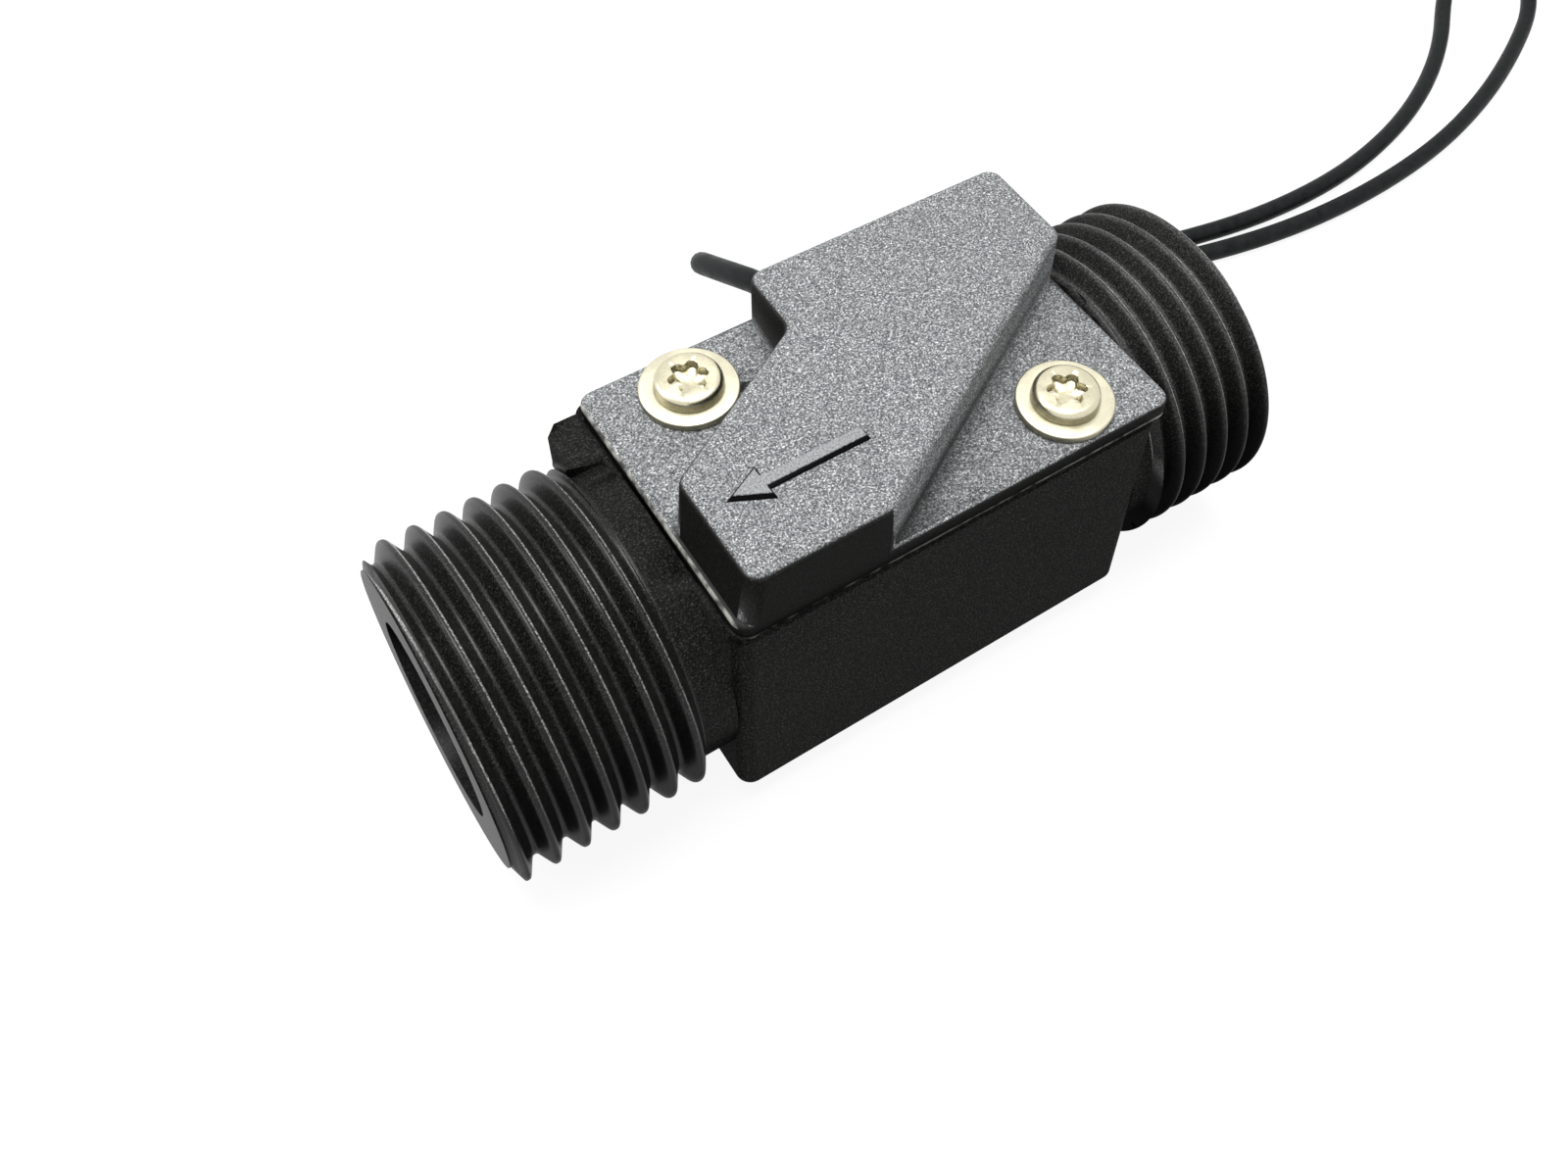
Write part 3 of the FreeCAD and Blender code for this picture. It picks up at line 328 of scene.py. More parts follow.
class Finish:
    """A procedural material on one principled shader. A node is added by a short method that takes and
    gives node outputs. place is the object coordinates, at their three parts, and facing the three parts
    of the way the surface faces."""

    def __init__(self, name, colour, roughness, metallic=0.0):
        self.material = bpy.data.materials.new(name)
        self.material.use_nodes = True
        self.tree = self.material.node_tree
        self.shader = self.tree.nodes["Principled BSDF"]
        self.set("Base Color", (*colour, 1.0))
        self.set("Roughness", roughness)
        self.set("Metallic", metallic)
        coordinates = self.tree.nodes.new("ShaderNodeTexCoord")
        self.place = coordinates.outputs["Object"]
        self.at = self.three_parts(self.place)
        self.facing = self.three_parts(coordinates.outputs["Normal"])

    def set(self, name, number):
        """Sets one of the shader's inputs to a number or a colour."""
        self.shader.inputs[name].default_value = number

    def join(self, source, target):
        self.tree.links.new(source, target)

    def drive(self, name, source):
        """Joins a node's output to one of the shader's inputs."""
        self.join(source, self.shader.inputs[name])

    def three_parts(self, vector):
        node = self.tree.nodes.new("ShaderNodeSeparateXYZ")
        self.join(vector, node.inputs["Vector"])
        return node.outputs

    def noise(self, grain, detail=2.0, roughness=0.5):
        """Noise whose blobs are about one grain across."""
        node = tree_node(self.tree, "ShaderNodeTexNoise", Scale=1.0 / grain, Detail=detail,
                         Roughness=roughness)
        self.join(self.place, node.inputs["Vector"])
        return node.outputs["Fac"]

    def ramp(self, value, *stops):
        """A colour ramp over (position, grey or colour) stops."""
        node = self.tree.nodes.new("ShaderNodeValToRGB")
        elements = node.color_ramp.elements
        while len(elements) < len(stops):
            elements.new(0.5)
        for element, (position, colour) in zip(elements, stops):
            red_green_blue = colour if isinstance(colour, tuple) else (colour, colour, colour)
            element.position = position
            element.color = (*red_green_blue, 1.0)
        self.join(value, node.inputs["Fac"])
        return node.outputs["Color"]

    def map_range(self, kind, clamp, value, ends):
        node = self.tree.nodes.new("ShaderNodeMapRange")
        node.interpolation_type = kind
        node.clamp = clamp
        for name, number in zip(("From Min", "From Max", "To Min", "To Max"), ends):
            node.inputs[name].default_value = number
        self.join(value, node.inputs["Value"])
        return node.outputs["Result"]

    def band(self, value, low, high, out_low=0.0, out_high=1.0):
        """A smooth step of a value from low to high."""
        return self.map_range("SMOOTHSTEP", True, value, (low, high, out_low, out_high))

    def stretched(self, value, low, high, out_low, out_high):
        """A value stretched evenly, so that low gives out_low and high gives out_high."""
        return self.map_range("LINEAR", False, value, (low, high, out_low, out_high))

    def combine(self, operation, first, *others):
        """Values put together, one after the other, by an arithmetic operation."""
        result = first
        for other in others:
            node = self.tree.nodes.new("ShaderNodeMath")
            node.operation = operation
            self.join(result, node.inputs[0])
            self.join(other, node.inputs[1])
            result = node.outputs["Value"]
        return result

    def times(self, *values):
        return self.combine("MULTIPLY", *values)

    def fraction(self, value):
        """What is left of a value over the whole number below it."""
        node = self.tree.nodes.new("ShaderNodeMath")
        node.operation = "FRACT"
        self.join(value, node.inputs[0])
        return node.outputs["Value"]

    def mixed(self, share, first, second):
        """First where share is 0, second where it is 1."""
        node = self.tree.nodes.new("ShaderNodeMix")
        node.data_type = "RGBA"
        self.join(share, node.inputs["Factor"])
        colours = [socket for socket in node.inputs if socket.type == "RGBA"]
        self.join(first, colours[0])
        self.join(second, colours[1])
        return [socket for socket in node.outputs if socket.type == "RGBA"][0]

    def bump(self, height, distance, strength):
        """Relief of the given depth on the shader's normal."""
        node = tree_node(self.tree, "ShaderNodeBump", Strength=strength, Distance=distance)
        self.join(height, node.inputs["Height"])
        self.drive("Normal", node.outputs["Normal"])


def cover_plastic():
    """Black plastic with coarse sparkling mould grain, in a lighter grey copy on what faces up, which is
    painted light, and a near-black copy on the walls, which is painted shade. An oblique wall greys towards
    its top edge as a painted highlight. There is a dark outlet ledge, and a whitish broken band along the
    joint and the outlet edge."""
    finish = Finish("cover_plastic", (0.03, 0.03, 0.032), 0.55)
    at, facing = finish.at, finish.facing
    grain = finish.noise(MOULD_GRAIN, 3.0, 0.7)
    # Painted light: a lighter grey copy of the grain for what faces up and for the top of the oblique wall
    grain_painted_lit = finish.ramp(grain, (0.34, (0.022, 0.024, 0.026)), (0.48, (0.12, 0.125, 0.13)),
                        (0.59, (0.33, 0.34, 0.345)), (0.70, (0.95, 0.96, 0.96)))
    # Painted shade: a near-black copy of the grain for the walls
    wall = finish.ramp(grain, (0.35, 0.004), (0.55, (0.009, 0.009, 0.0085)), (0.72, (0.03, 0.03, 0.028)))

    # Painted light on the oblique wall, rising towards its top edge, and on the tops, which take the
    # lighter copy of the grain
    height = finish.band(at["Z"], PLATE_TOP + 0.1 * MM, PLATE_TOP + 2.4 * MM)
    oblique = finish.times(finish.band(facing["X"], -0.4, -0.2, 1.0, 0.0), height)
    colour = finish.mixed(oblique, wall, grain_painted_lit)
    colour = finish.mixed(finish.band(facing["Z"], 0.55, 0.9), colour, grain_painted_lit)

    # The ledge in front of the housing, at the outlet
    beyond = finish.band(at["X"], COVER_OUTLET - 1.25 * LEDGE_WIDTH, COVER_OUTLET - LEDGE_WIDTH)
    forward = finish.band(at["Y"], 1.5 * MM, 2.5 * MM)
    low = finish.band(at["Z"], PLATE_TOP + 0.05 * MM, PLATE_TOP + 0.15 * MM, 1.0, 0.0)
    colour = finish.mixed(finish.times(beyond, forward, low), colour, wall)

    # A whitish broken band along the foot and along the outlet edge
    blotch = finish.noise(0.8 * MM, 3.0)
    broken = finish.ramp(blotch, (0.38, (0.05, 0.05, 0.047)), (0.60, (0.34, 0.34, 0.31)))
    foot = finish.band(at["Z"], COVER_FOOT + EDGE_BAND_HEIGHT, COVER_FOOT + 1.3 * EDGE_BAND_HEIGHT, 1.0, 0.0)
    colour = finish.mixed(foot, colour, broken)
    outlet_side = finish.band(at["X"], COVER_OUTLET - 0.2 * MM, COVER_OUTLET - 0.1 * MM)
    rim = finish.band(at["Z"], PLATE_TOP - 0.35 * MM, PLATE_TOP - 0.28 * MM)
    colour = finish.mixed(finish.times(outlet_side, rim, low), colour, broken)

    finish.drive("Base Color", colour)
    finish.drive("Roughness", finish.band(facing["Z"], 0.4, 0.9, 0.55, 0.62))
    finish.drive("Specular IOR Level", finish.band(facing["Z"], 0.1, 0.9, 0.02, 0.3))
    finish.bump(grain, 0.04 * MM, 0.6)
    return finish.material


def arrow_plastic():
    """The cover's plastic on the arrow: a more uniform grain, lighter on top as painted light, and black
    walls as painted shade.
    """
    finish = Finish("arrow_plastic", (0.2, 0.2, 0.2), 0.6)
    up = finish.facing["Z"]
    grain = finish.noise(MOULD_GRAIN, 3.0, 0.6)
    # Painted light on the arrow's top and painted shade on its black walls
    even_grain_painted_lit = finish.ramp(grain, (0.32, (0.12, 0.125, 0.13)), (0.68, (0.36, 0.37, 0.375)))
    wall = finish.ramp(grain, (0.3, 0.003), (0.7, 0.008))
    finish.drive("Base Color", finish.mixed(finish.band(up, 0.7, 0.95), wall, even_grain_painted_lit))
    finish.drive("Specular IOR Level", finish.band(up, 0.5, 0.95, 0.0, 0.3))
    finish.bump(grain, 0.02 * MM, 0.4)
    return finish.material


def thread_phase(finish):
    """How far a point lies past a crest of the thread, in pitches from 0 to 1: the fraction of
    (x - crest) / pitch - angle / turn."""
    at = finish.at
    angle = finish.combine("ARCTAN2", at["Z"], at["Y"])
    turned = finish.stretched(angle, -math.pi, math.pi, -0.5, 0.5)
    along = finish.stretched(at["X"], 0.0, THREAD_PITCH, 0.0, 1.0)
    crest = finish.band(at["X"], INLET_END, OUTLET_START,
                        INLET_CREST / THREAD_PITCH, OUTLET_CREST / THREAD_PITCH)
    return finish.fraction(finish.combine("SUBTRACT", along, crest, turned))


def body_plastic():
    """Near-black plastic: fine matt grain on the block, and a lit and a shaded copy of the grain, painted
    light and shade by how the surface faces, so the threads are darker underneath, with a painted sheen on
    top of the inlet end and a painted highlight line on the inlet side of each crest. The gloss is less
    underneath, at the rear, on the inlet end, on the block and on what faces the outlet."""
    finish = Finish("body_plastic", (0.02, 0.02, 0.021), 0.5)
    at, facing = finish.at, finish.facing
    grain = finish.noise(MOULD_GRAIN, 3.0, 0.7)

    # Shares of the inlet thread, of the block and of what is outside the bore
    past_inlet = finish.band(at["X"], INLET_END, INLET_END + 0.3 * MM)
    on_inlet = finish.band(past_inlet, 0.0, 1.0, 1.0, 0.0)
    before_outlet = finish.band(at["X"], OUTLET_START - 0.3 * MM, OUTLET_START, 1.0, 0.0)
    on_block = finish.times(past_inlet, before_outlet)
    on_thread = finish.band(on_block, 0.0, 1.0, 1.0, 0.0)
    reach = finish.combine("ADD", finish.times(at["Y"], at["Y"]), finish.times(at["Z"], at["Z"]))
    outside = finish.band(reach, (THREAD_ROOT_RADIUS - 0.3 * MM) ** 2, (THREAD_ROOT_RADIUS - 0.1 * MM) ** 2)

    # Painted light and shade: a lit and a shaded copy of the grain by how the surface faces, and a painted
    # sheen on the upper inlet surfaces
    lit = finish.ramp(grain, (0.36, 0.002), (0.54, (0.010, 0.010, 0.0095)), (0.70, (0.06, 0.06, 0.057)))
    shaded = finish.ramp(grain, (0.34, 0.001), (0.70, 0.006))
    painted_sheen = finish.ramp(grain, (0.36, 0.014), (0.54, (0.05, 0.05, 0.049)), (0.70, (0.16, 0.16, 0.156)))
    block_lit = finish.times(finish.band(facing["Z"], -0.35, 0.0), on_block)
    share = finish.combine("MAXIMUM", block_lit, finish.band(facing["Z"], -0.05, 0.45))
    colour = finish.mixed(share, shaded, lit)
    # Painted sheen on the upper side of the inlet thread
    upper_inlet = finish.times(finish.band(facing["Z"], 0.15, 0.9), outside, on_inlet)
    colour = finish.mixed(upper_inlet, colour, painted_sheen)

    # Painted highlight: a whitish line on the inlet side of each crest, brighter on the inlet thread and
    # fading towards the underside; the line also gets more gloss
    phase = thread_phase(finish)
    line = finish.times(finish.band(phase, 0.855, 0.885), finish.band(phase, 0.915, 0.945, 1.0, 0.0),
                        on_thread, outside)
    faint_painted_highlight = finish.ramp(grain, (0.42, 0.02), (0.64, (0.55, 0.55, 0.53)))
    strong_painted_highlight = finish.ramp(grain, (0.38, 0.08), (0.56, (0.92, 0.92, 0.9)))
    painted_highlight_share = finish.times(line, finish.band(facing["Z"], 0.1, 0.7))
    colour = finish.mixed(painted_highlight_share, colour, finish.mixed(past_inlet, strong_painted_highlight, faint_painted_highlight))
    finish.drive("Base Color", colour)

    # Gloss
    gloss = finish.times(finish.band(facing["Z"], -0.2, 0.5, 0.005, 0.22),
                         finish.band(facing["X"], 0.6, 0.95, 1.0, 0.3),
                         finish.band(on_block, 0.0, 1.0, 1.0, 0.3),
                         finish.band(past_inlet, 0.0, 1.0, 0.5, 1.0))
    polish = finish.times(line, finish.band(facing["Z"], 0.1, 0.7, 0.02, 0.6))
    gloss = finish.combine("ADD", gloss, polish)
    gloss = finish.times(gloss, finish.band(facing["Y"], -0.8, -0.2, 0.1, 1.0))
    finish.drive("Specular IOR Level", gloss)
    finish.drive("Roughness", finish.band(on_block, 0.0, 1.0, 0.3, 0.6))
    finish.bump(grain, 0.014 * MM, 0.6)
    return finish.material


def pale_steel(name, colour, roughness):
    """Satin steel with a warm plating, fine grain, a slight change of gloss and upright sides darkened as a
    painted dark reflection.
    """
    finish = Finish(name, colour, roughness, 1.0)
    grain = finish.noise(0.10 * MM, 3.0, 0.6)
    dark, side_dark_reflection, side_darker_reflection = (tuple(share * part for part in colour) for share in (0.86, 0.42, 0.28))
    flat = finish.ramp(grain, (0.3, dark), (0.65, colour))
    side = finish.ramp(grain, (0.3, side_darker_reflection), (0.65, side_dark_reflection))
    # Painted dark reflection: the upright sides take darker copies of the plating colour
    finish.drive("Base Color", finish.mixed(finish.band(finish.facing["Z"], 0.05, 0.5), side, flat))
    cloud = finish.noise(1.6 * MM)
    finish.drive("Roughness", finish.band(cloud, 0.3, 0.7, roughness - 0.06, roughness + 0.08))
    finish.bump(grain, 0.006 * MM, 0.5)
    return finish.material


def lead_sheath():
    """Black satin lead insulation, faintly wavy."""
    finish = Finish("lead_sheath", (0.008, 0.008, 0.009), 0.42)
    finish.set("Specular IOR Level", 0.1)
    wave = finish.noise(0.9 * MM)
    colour = finish.ramp(wave, (0.3, (0.005, 0.006, 0.0065)), (0.7, (0.012, 0.013, 0.0135)))
    finish.drive("Base Color", colour)
    finish.drive("Roughness", finish.band(wave, 0.3, 0.7, 0.36, 0.5))
    finish.bump(wave, 0.03 * MM, 0.3)
    return finish.material


def even_finish(name, colour, roughness, metallic=0.0, grain=0.4 * MM):
    """A finish of one colour with a slight grain in its colour, gloss and relief."""
    finish = Finish(name, colour, roughness, metallic)
    pattern = finish.noise(grain, 3.0)
    darker = tuple(part * 0.88 for part in colour)
    finish.drive("Base Color", finish.ramp(pattern, (0.3, darker), (0.7, colour)))
    finish.drive("Roughness", finish.band(pattern, 0.3, 0.7, roughness - 0.05, roughness + 0.05))
    finish.bump(pattern, 0.01 * MM, 0.4)
    return finish.material


def reed_glass():
    """Clear green-tinted glass, slightly uneven."""
    finish = Finish("reed_glass", (0.78, 0.9, 0.8), 0.04)
    finish.set("Transmission Weight", 1.0)
    finish.set("IOR", 1.5)
    finish.bump(finish.noise(2.0 * MM), 0.02 * MM, 0.2)
    return finish.material


# Camera, light and floor

def looking(place, target):
    """The pose of a camera or lamp that stands at place and looks at the target."""
    return Matrix.Translation(place) @ (target - place).to_track_quat("-Z", "Y").to_matrix().to_4x4()


def make_camera():
    data = bpy.data.cameras.new("Camera")
    data.lens = CAMERA_LENS
    data.sensor_width = 36.0
    data.shift_x, data.shift_y = CAMERA_SHIFT
    data.clip_start = CAMERA_NEAR
    camera = new_object("Camera", data)
    camera.matrix_world = looking(CAMERA_EYE, CAMERA_TARGET) @ Matrix.Rotation(CAMERA_ROLL, 4, "Z")
    bpy.context.scene.camera = camera


def seen_share(tree):
    """1 for rays from the camera, a mirror or glass, 0 for light that falls on the object."""
    path = tree.nodes.new("ShaderNodeLightPath")
    share = path.outputs["Is Camera Ray"]
    for name in ("Is Glossy Ray", "Is Transmission Ray"):
        largest = tree.nodes.new("ShaderNodeMath")
        largest.operation = "MAXIMUM"
        tree.links.new(share, largest.inputs[0])
        tree.links.new(path.outputs[name], largest.inputs[1])
        share = largest.outputs["Value"]
    return share


def mixed_shader(tree, share, first, second):
    """A mix node: first where share is 0, second where it is 1. Share is a number or a node's output."""
    node = tree.nodes.new("ShaderNodeMixShader")
    if isinstance(share, float):
        node.inputs["Fac"].default_value = share
    else:
        tree.links.new(share, node.inputs["Fac"])
    tree.links.new(first.outputs[0], node.inputs[1])
    tree.links.new(second.outputs[0], node.inputs[2])
    return node


def make_world():
    """Even pale light all round; what the camera, metal and glass see of it is white."""
    world = bpy.data.worlds.new("StudioWorld")
    bpy.context.scene.world = world
    world.use_nodes = True
    tree = world.node_tree
    tree.nodes.clear()
    full_white = (1.0, 1.0, 1.0, 1.0)
    light = tree_node(tree, "ShaderNodeBackground", Color=full_white, Strength=WORLD_LIGHT)
    white = tree_node(tree, "ShaderNodeBackground", Color=full_white, Strength=1.0)
    choice = mixed_shader(tree, seen_share(tree), light, white)
    output = tree.nodes.new("ShaderNodeOutputWorld")
    tree.links.new(choice.outputs["Shader"], output.inputs["Surface"])


def make_floor():
    """A pale floor under the part. Most of what is seen of it is plain white, and the rest keeps
    the part's soft shadow."""
    half = FLOOR_HALF
    corners = [(-half, -half, FLOOR), (half, -half, FLOOR), (half, half, FLOOR), (-half, half, FLOOR)]
    mesh = bpy.data.meshes.new("Floor")
    mesh.from_pydata(corners, [], [(0, 1, 2, 3)])
    floor = new_object("Floor", mesh)
    material = bpy.data.materials.new("floor_white")
    material.use_nodes = True
    tree = material.node_tree
    tree.nodes.clear()
    paper = tree_node(tree, "ShaderNodeBsdfDiffuse", Color=(PAPER_GREY, PAPER_GREY, PAPER_GREY, 1.0))
    glow = tree_node(tree, "ShaderNodeEmission", Strength=FLOOR_GLOW)
    shown = mixed_shader(tree, SHADOW_SHARE, glow, paper)
    choice = mixed_shader(tree, seen_share(tree), paper, shown)
    output = tree.nodes.new("ShaderNodeOutputMaterial")
    tree.links.new(choice.outputs["Shader"], output.inputs["Surface"])
    mesh.materials.append(material)


def make_lamp(name, place, size, power):
    """A square soft box that looks at the part."""
    data = bpy.data.lights.new(name, "AREA")
    data.size = size
    data.energy = power
    lamp = new_object(name, data)
    lamp.matrix_world = looking(Vector(place) * MM, LAMP_TARGET)


def make_studio():
    make_camera()
    make_world()
    make_floor()
    for lamp in LAMPS:
        make_lamp(*lamp)
    bpy.context.scene.view_settings.view_transform = "Standard"


# Leads

def coil_points(coil):
    """Control points of one put-away coil. A lead comes in on the outer column, goes inwards after
    three quarters of a turn, rises to the second layer and comes back out. The curve runs inside
    its points, so they stand on a circle that is larger by 1 / cos(half a step)."""
    sweep = 3 * 360.0 + (coil["entry"] - coil["end"]) % 360.0
    steps = int(sweep / 360.0 * COIL_POINTS)
    travelled = np.linspace(0.0, sweep, steps + 1)

    def eased(start, end):
        share = np.clip((travelled - start) / (end - start), 0, 1)
        return share * share * (3 - 2 * share)

    inwards = eased(270.0, 345.0) - eased(950.0, 1020.0)
    radius = (COIL_OUTER + (COIL_INNER - COIL_OUTER) * inwards) / math.cos(math.pi / COIL_POINTS)
    angle = np.radians(coil["entry"] - travelled)
    across = COIL_CENTRE + radius[:, None] * np.stack([np.cos(angle), np.sin(angle)], axis=1)
    height = coil["height"] + COIL_LAYER * eased(630.0, 705.0)
    return np.column_stack([across, height])


def coil_exit(coil):
    """Where a lead leaves its coil, and the way it heads there."""
    angle = math.radians(coil["end"])
    touch = COIL_CENTRE + COIL_OUTER * np.array((math.cos(angle), math.sin(angle)))
    heading = np.array((math.sin(angle), -math.cos(angle), 0.0))
    return np.array((*touch, coil["height"] + COIL_LAYER)), heading


def make_lead(name, route, coil, material, nodes):
    """One lead as a round tube on a smooth line that follows its route, its coil and a short stub."""
    touch, heading = coil_exit(coil)
    stub = np.stack([touch + heading * reach for reach in STUB_POINTS])
    points = np.concatenate([np.array(route), coil_points(coil)[1:-1], stub]) * MM
    curve = bpy.data.curves.new(name, "CURVE")
    curve.dimensions = "3D"
    line = curve.splines.new("NURBS")
    line.points.add(len(points) - 1)
    line.points.foreach_set("co", np.column_stack([points, np.ones(len(points))]).ravel())
    line.order_u = 3
    line.use_endpoint_u = True
    line.resolution_u = 8
    curve.bevel_depth = LEAD_RADIUS
    curve.bevel_resolution = 5
    curve.use_fill_caps = True
    return dress(new_object(name, curve), material, "lead_sheath", *nodes)


def tinned_end(coil):
    """A tinned end of seven twisted strands. At length s and angle a its radius is R times
    1 - 0.1 (1 - |cos(3.5 (a - twist))|), where the twist is one turn over the lay, drawn in over the
    last tenth as a rounded tip."""
    touch, heading = coil_exit(coil)
    angle = around(56)
    tip_start, tip_length = 0.9, 0.1
    tip_places = tip_start + tip_length * np.sin(np.linspace(0, math.pi / 2, 9)[1:])
    along = np.concatenate([np.linspace(0, tip_start, 40), tip_places])[:, None]
    tip = np.sqrt(np.clip(1 - (np.clip(along - tip_start, 0, None) / tip_length) ** 2, 0.02, 1))
    twist = TURN * along * TINNED_LENGTH / TINNED_LAY
    strands = np.abs(np.cos(TINNED_STRANDS / 2 * (angle - twist)))
    radius = (TINNED_RADIUS * tip * (1 - 0.1 * (1 - strands)))[..., None]
    side, up = np.array((-heading[1], heading[0], 0.0)), np.array((0.0, 0.0, 1.0))
    start = (touch + heading * TINNED_START) * MM
    ring = radius * (np.cos(angle)[..., None] * side + np.sin(angle)[..., None] * up)
    return closed_grid(start + (along * TINNED_LENGTH)[..., None] * heading + ring)


def coil_strap():
    """A flat strap carried round the two coils: its section is a rectangle with rounded edges, and
    its path a rectangle with rounded corners in the upright plane through the coils' middle."""
    low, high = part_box("coil_tie")
    half_tall, middle_height = (high.z - low.z) / 2, (high.z + low.z) / 2
    steps = 9
    turn = corner_turns(steps)
    out = np.stack([np.cos(turn), np.sin(turn)], axis=1)
    corners = np.array(((1, 1), (-1, 1), (-1, -1), (1, -1)))
    path = np.repeat(corners, steps, axis=0) * (TIE_HALF - TIE_CORNER, half_tall - TIE_CORNER)
    edge = around(24)[0]
    section_out = TIE_THICK / 2 * (np.sign(np.sin(edge)) * np.abs(np.sin(edge)) ** 0.4 - 1)
    section_side = TIE_WIDE / 2 * np.sign(np.cos(edge)) * np.abs(np.cos(edge)) ** 0.4
    reach = path[:, None, :] + (TIE_CORNER + section_out)[None, :, None] * out[:, None, :]
    radial = np.array((math.cos(TIE_ANGLE), math.sin(TIE_ANGLE), 0.0))
    sideways = np.array((-math.sin(TIE_ANGLE), math.cos(TIE_ANGLE), 0.0))
    middle_radius = (COIL_OUTER + COIL_INNER) / 2 * MM
    centre = np.array((*(COIL_CENTRE * MM), middle_height)) + radial * middle_radius
    points = (centre + reach[..., :1] * radial + reach[..., 1:] * np.array((0.0, 0.0, 1.0))
              + section_side[None, :, None] * sideways)
    return closed_grid(points, close_rows=True)


def make_leads():
    sheath = lead_sheath()
    tinned = even_finish("tinned_copper", (0.72, 0.72, 0.7), 0.32, 1.0, 0.2 * MM)
    strap = mesh_piece("coil_strap", [coil_strap()])
    smooth(strap, 40)
    dress(strap, even_finish("tie_plastic", (0.03, 0.03, 0.031), 0.5), "tie_plastic", "coil_tie")
    routes = {"lead_1": (LEAD_1_ROUTE, (26.35, -9.45)), "lead_2": (LEAD_2_ROUTE, (24.55, -9.45))}
    for label, (route, exit_place) in routes.items():
        end = mesh_piece(f"{label}_tinned", [tinned_end(COILS[label])])
        smooth(end, 60)
        dress(end, tinned, "tinned_copper", "tinned_ends")
        lead = make_lead(f"{label}_wire", route, COILS[label], sheath, (label, f"{label}_coil"))


# Threaded body

def thread_radius(x, angle, crest_place):
    """Radius of a right-hand pipe thread. The crest stands at x = crest_place + pitch * angle / turn.
    The flanks are a triangle wave w half as tall again as the thread, held softly between root and
    crest by w / (1 + |w|^8)^(1/8)."""
    crest, root = THREAD_RADIUS - CREST_WORN, THREAD_ROOT_RADIUS + ROOT_FILLED
    phase = (x - crest_place) / THREAD_PITCH - angle / TURN
    wave = FLANK_STEEPNESS * (1 - 4 * np.abs(phase - np.round(phase)))
    held = wave / (1 + np.abs(wave) ** CREST_HOLD) ** (1 / CREST_HOLD)
    return (crest + root) / 2 + (crest - root) / 2 * held


def thread_cutter(name, start, end, crest_place):
    """A ring round the pipe end whose inside is the thread: what it covers is cut away."""
    x = np.arange(start, end, THREAD_PITCH / THREAD_STEPS)[:, None]
    angle = around(THREAD_COLUMNS)
    outside = np.full((1, THREAD_COLUMNS), THREAD_RADIUS + CUTTER_WALL)
    radius = np.concatenate([thread_radius(x, angle, crest_place), outside, outside])
    along = np.concatenate([x, x[-1:], x[:1]]) + 0 * angle
    points = np.stack([along, radius * np.cos(angle), radius * np.sin(angle)], axis=-1)
    return mesh_piece(name, [closed_grid(points, close_rows=True)])


def make_body():
    """The moulded body with its pipe threads cut into the plain ends."""
    body = merged_copy("body", "threaded_body")
    cutters = [
        thread_cutter("InletCutter", -CUT_PAST_END, INLET_END + CUT_PAST_THREAD, INLET_CREST),
        thread_cutter("OutletCutter", OUTLET_START - CUT_PAST_THREAD, OUTLET_END + CUT_PAST_END,
                      OUTLET_CREST),
    ]
    for cutter in cutters:
        cutting = body.modifiers.new(cutter.name, "BOOLEAN")
        cutting.operation = "DIFFERENCE"
        cutting.solver = "EXACT"
        cutting.object = cutter
    bpy.context.view_layer.update()
    cut = bpy.data.meshes.new_from_object(body.evaluated_get(bpy.context.evaluated_depsgraph_get()))
    body.modifiers.clear()
    body.data = cut
    for cutter in cutters:
        bpy.data.objects.remove(cutter)
    smooth(body, 38, weighted=True)
    dress(body, body_plastic(), "body_plastic", "body")


# Cover, screws and washers

def make_cover():
    cover = merged_copy("cover", "moulded_cover")
    smooth(cover, 35, weighted=True)
    dress(cover, cover_plastic(), "cover_plastic", "cover")


def flow_arrow():
    """The arrow on the cover: its outline carried up while its walls lean in by the draft. A corner
    stands off along (a + b) / (1 + a . b), where a and b are the outward normals of its two sides."""
    tip, neck = ARROW_TAIL + ARROW_LENGTH, ARROW_TAIL + ARROW_LENGTH - ARROW_HEAD_LENGTH
    shaft, head = ARROW_SHAFT_HALF, ARROW_HEAD_HALF
    outline = np.array(((ARROW_TAIL, -shaft), (neck, -shaft), (neck, -head), (tip, 0.0), (neck, head),
                        (neck, shaft), (ARROW_TAIL, shaft))) + np.array((0.0, ARROW_LINE))
    side = np.roll(outline, -1, axis=0) - outline
    after = np.stack([side[:, 1], -side[:, 0]], axis=1) / np.linalg.norm(side, axis=1)[:, None]
    before = np.roll(after, 1, axis=0)
    mitre = (before + after) / (1 + np.sum(before * after, axis=1))[:, None]
    stand_off = np.array((ARROW_DRAFT, ARROW_DRAFT, 0.02 * MM, -ARROW_EDGE))
    rise = np.array((-ARROW_SUNK, 0.0, ARROW_HEIGHT - ARROW_EDGE, ARROW_HEIGHT + 0.01 * MM))
    across = outline[None] + stand_off[:, None, None] * mitre[None]
    height = np.broadcast_to((HOUSING_TOP + rise)[:, None, None], (*across.shape[:2], 1))
    return closed_grid(np.concatenate([across, height], axis=2))


def make_arrow():
    arrow = mesh_piece("flow_arrow", [flow_arrow()])
    smooth(arrow, 25)
    dress(arrow, arrow_plastic(), "cover_plastic")


def screw_places():
    """Middles of the two cover screws, from the box round both washers."""
    low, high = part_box("screw_washers")
    return ((high.x - WASHER_RADIUS, low.y + WASHER_RADIUS),
            (low.x + WASHER_RADIUS, high.y - WASHER_RADIUS))


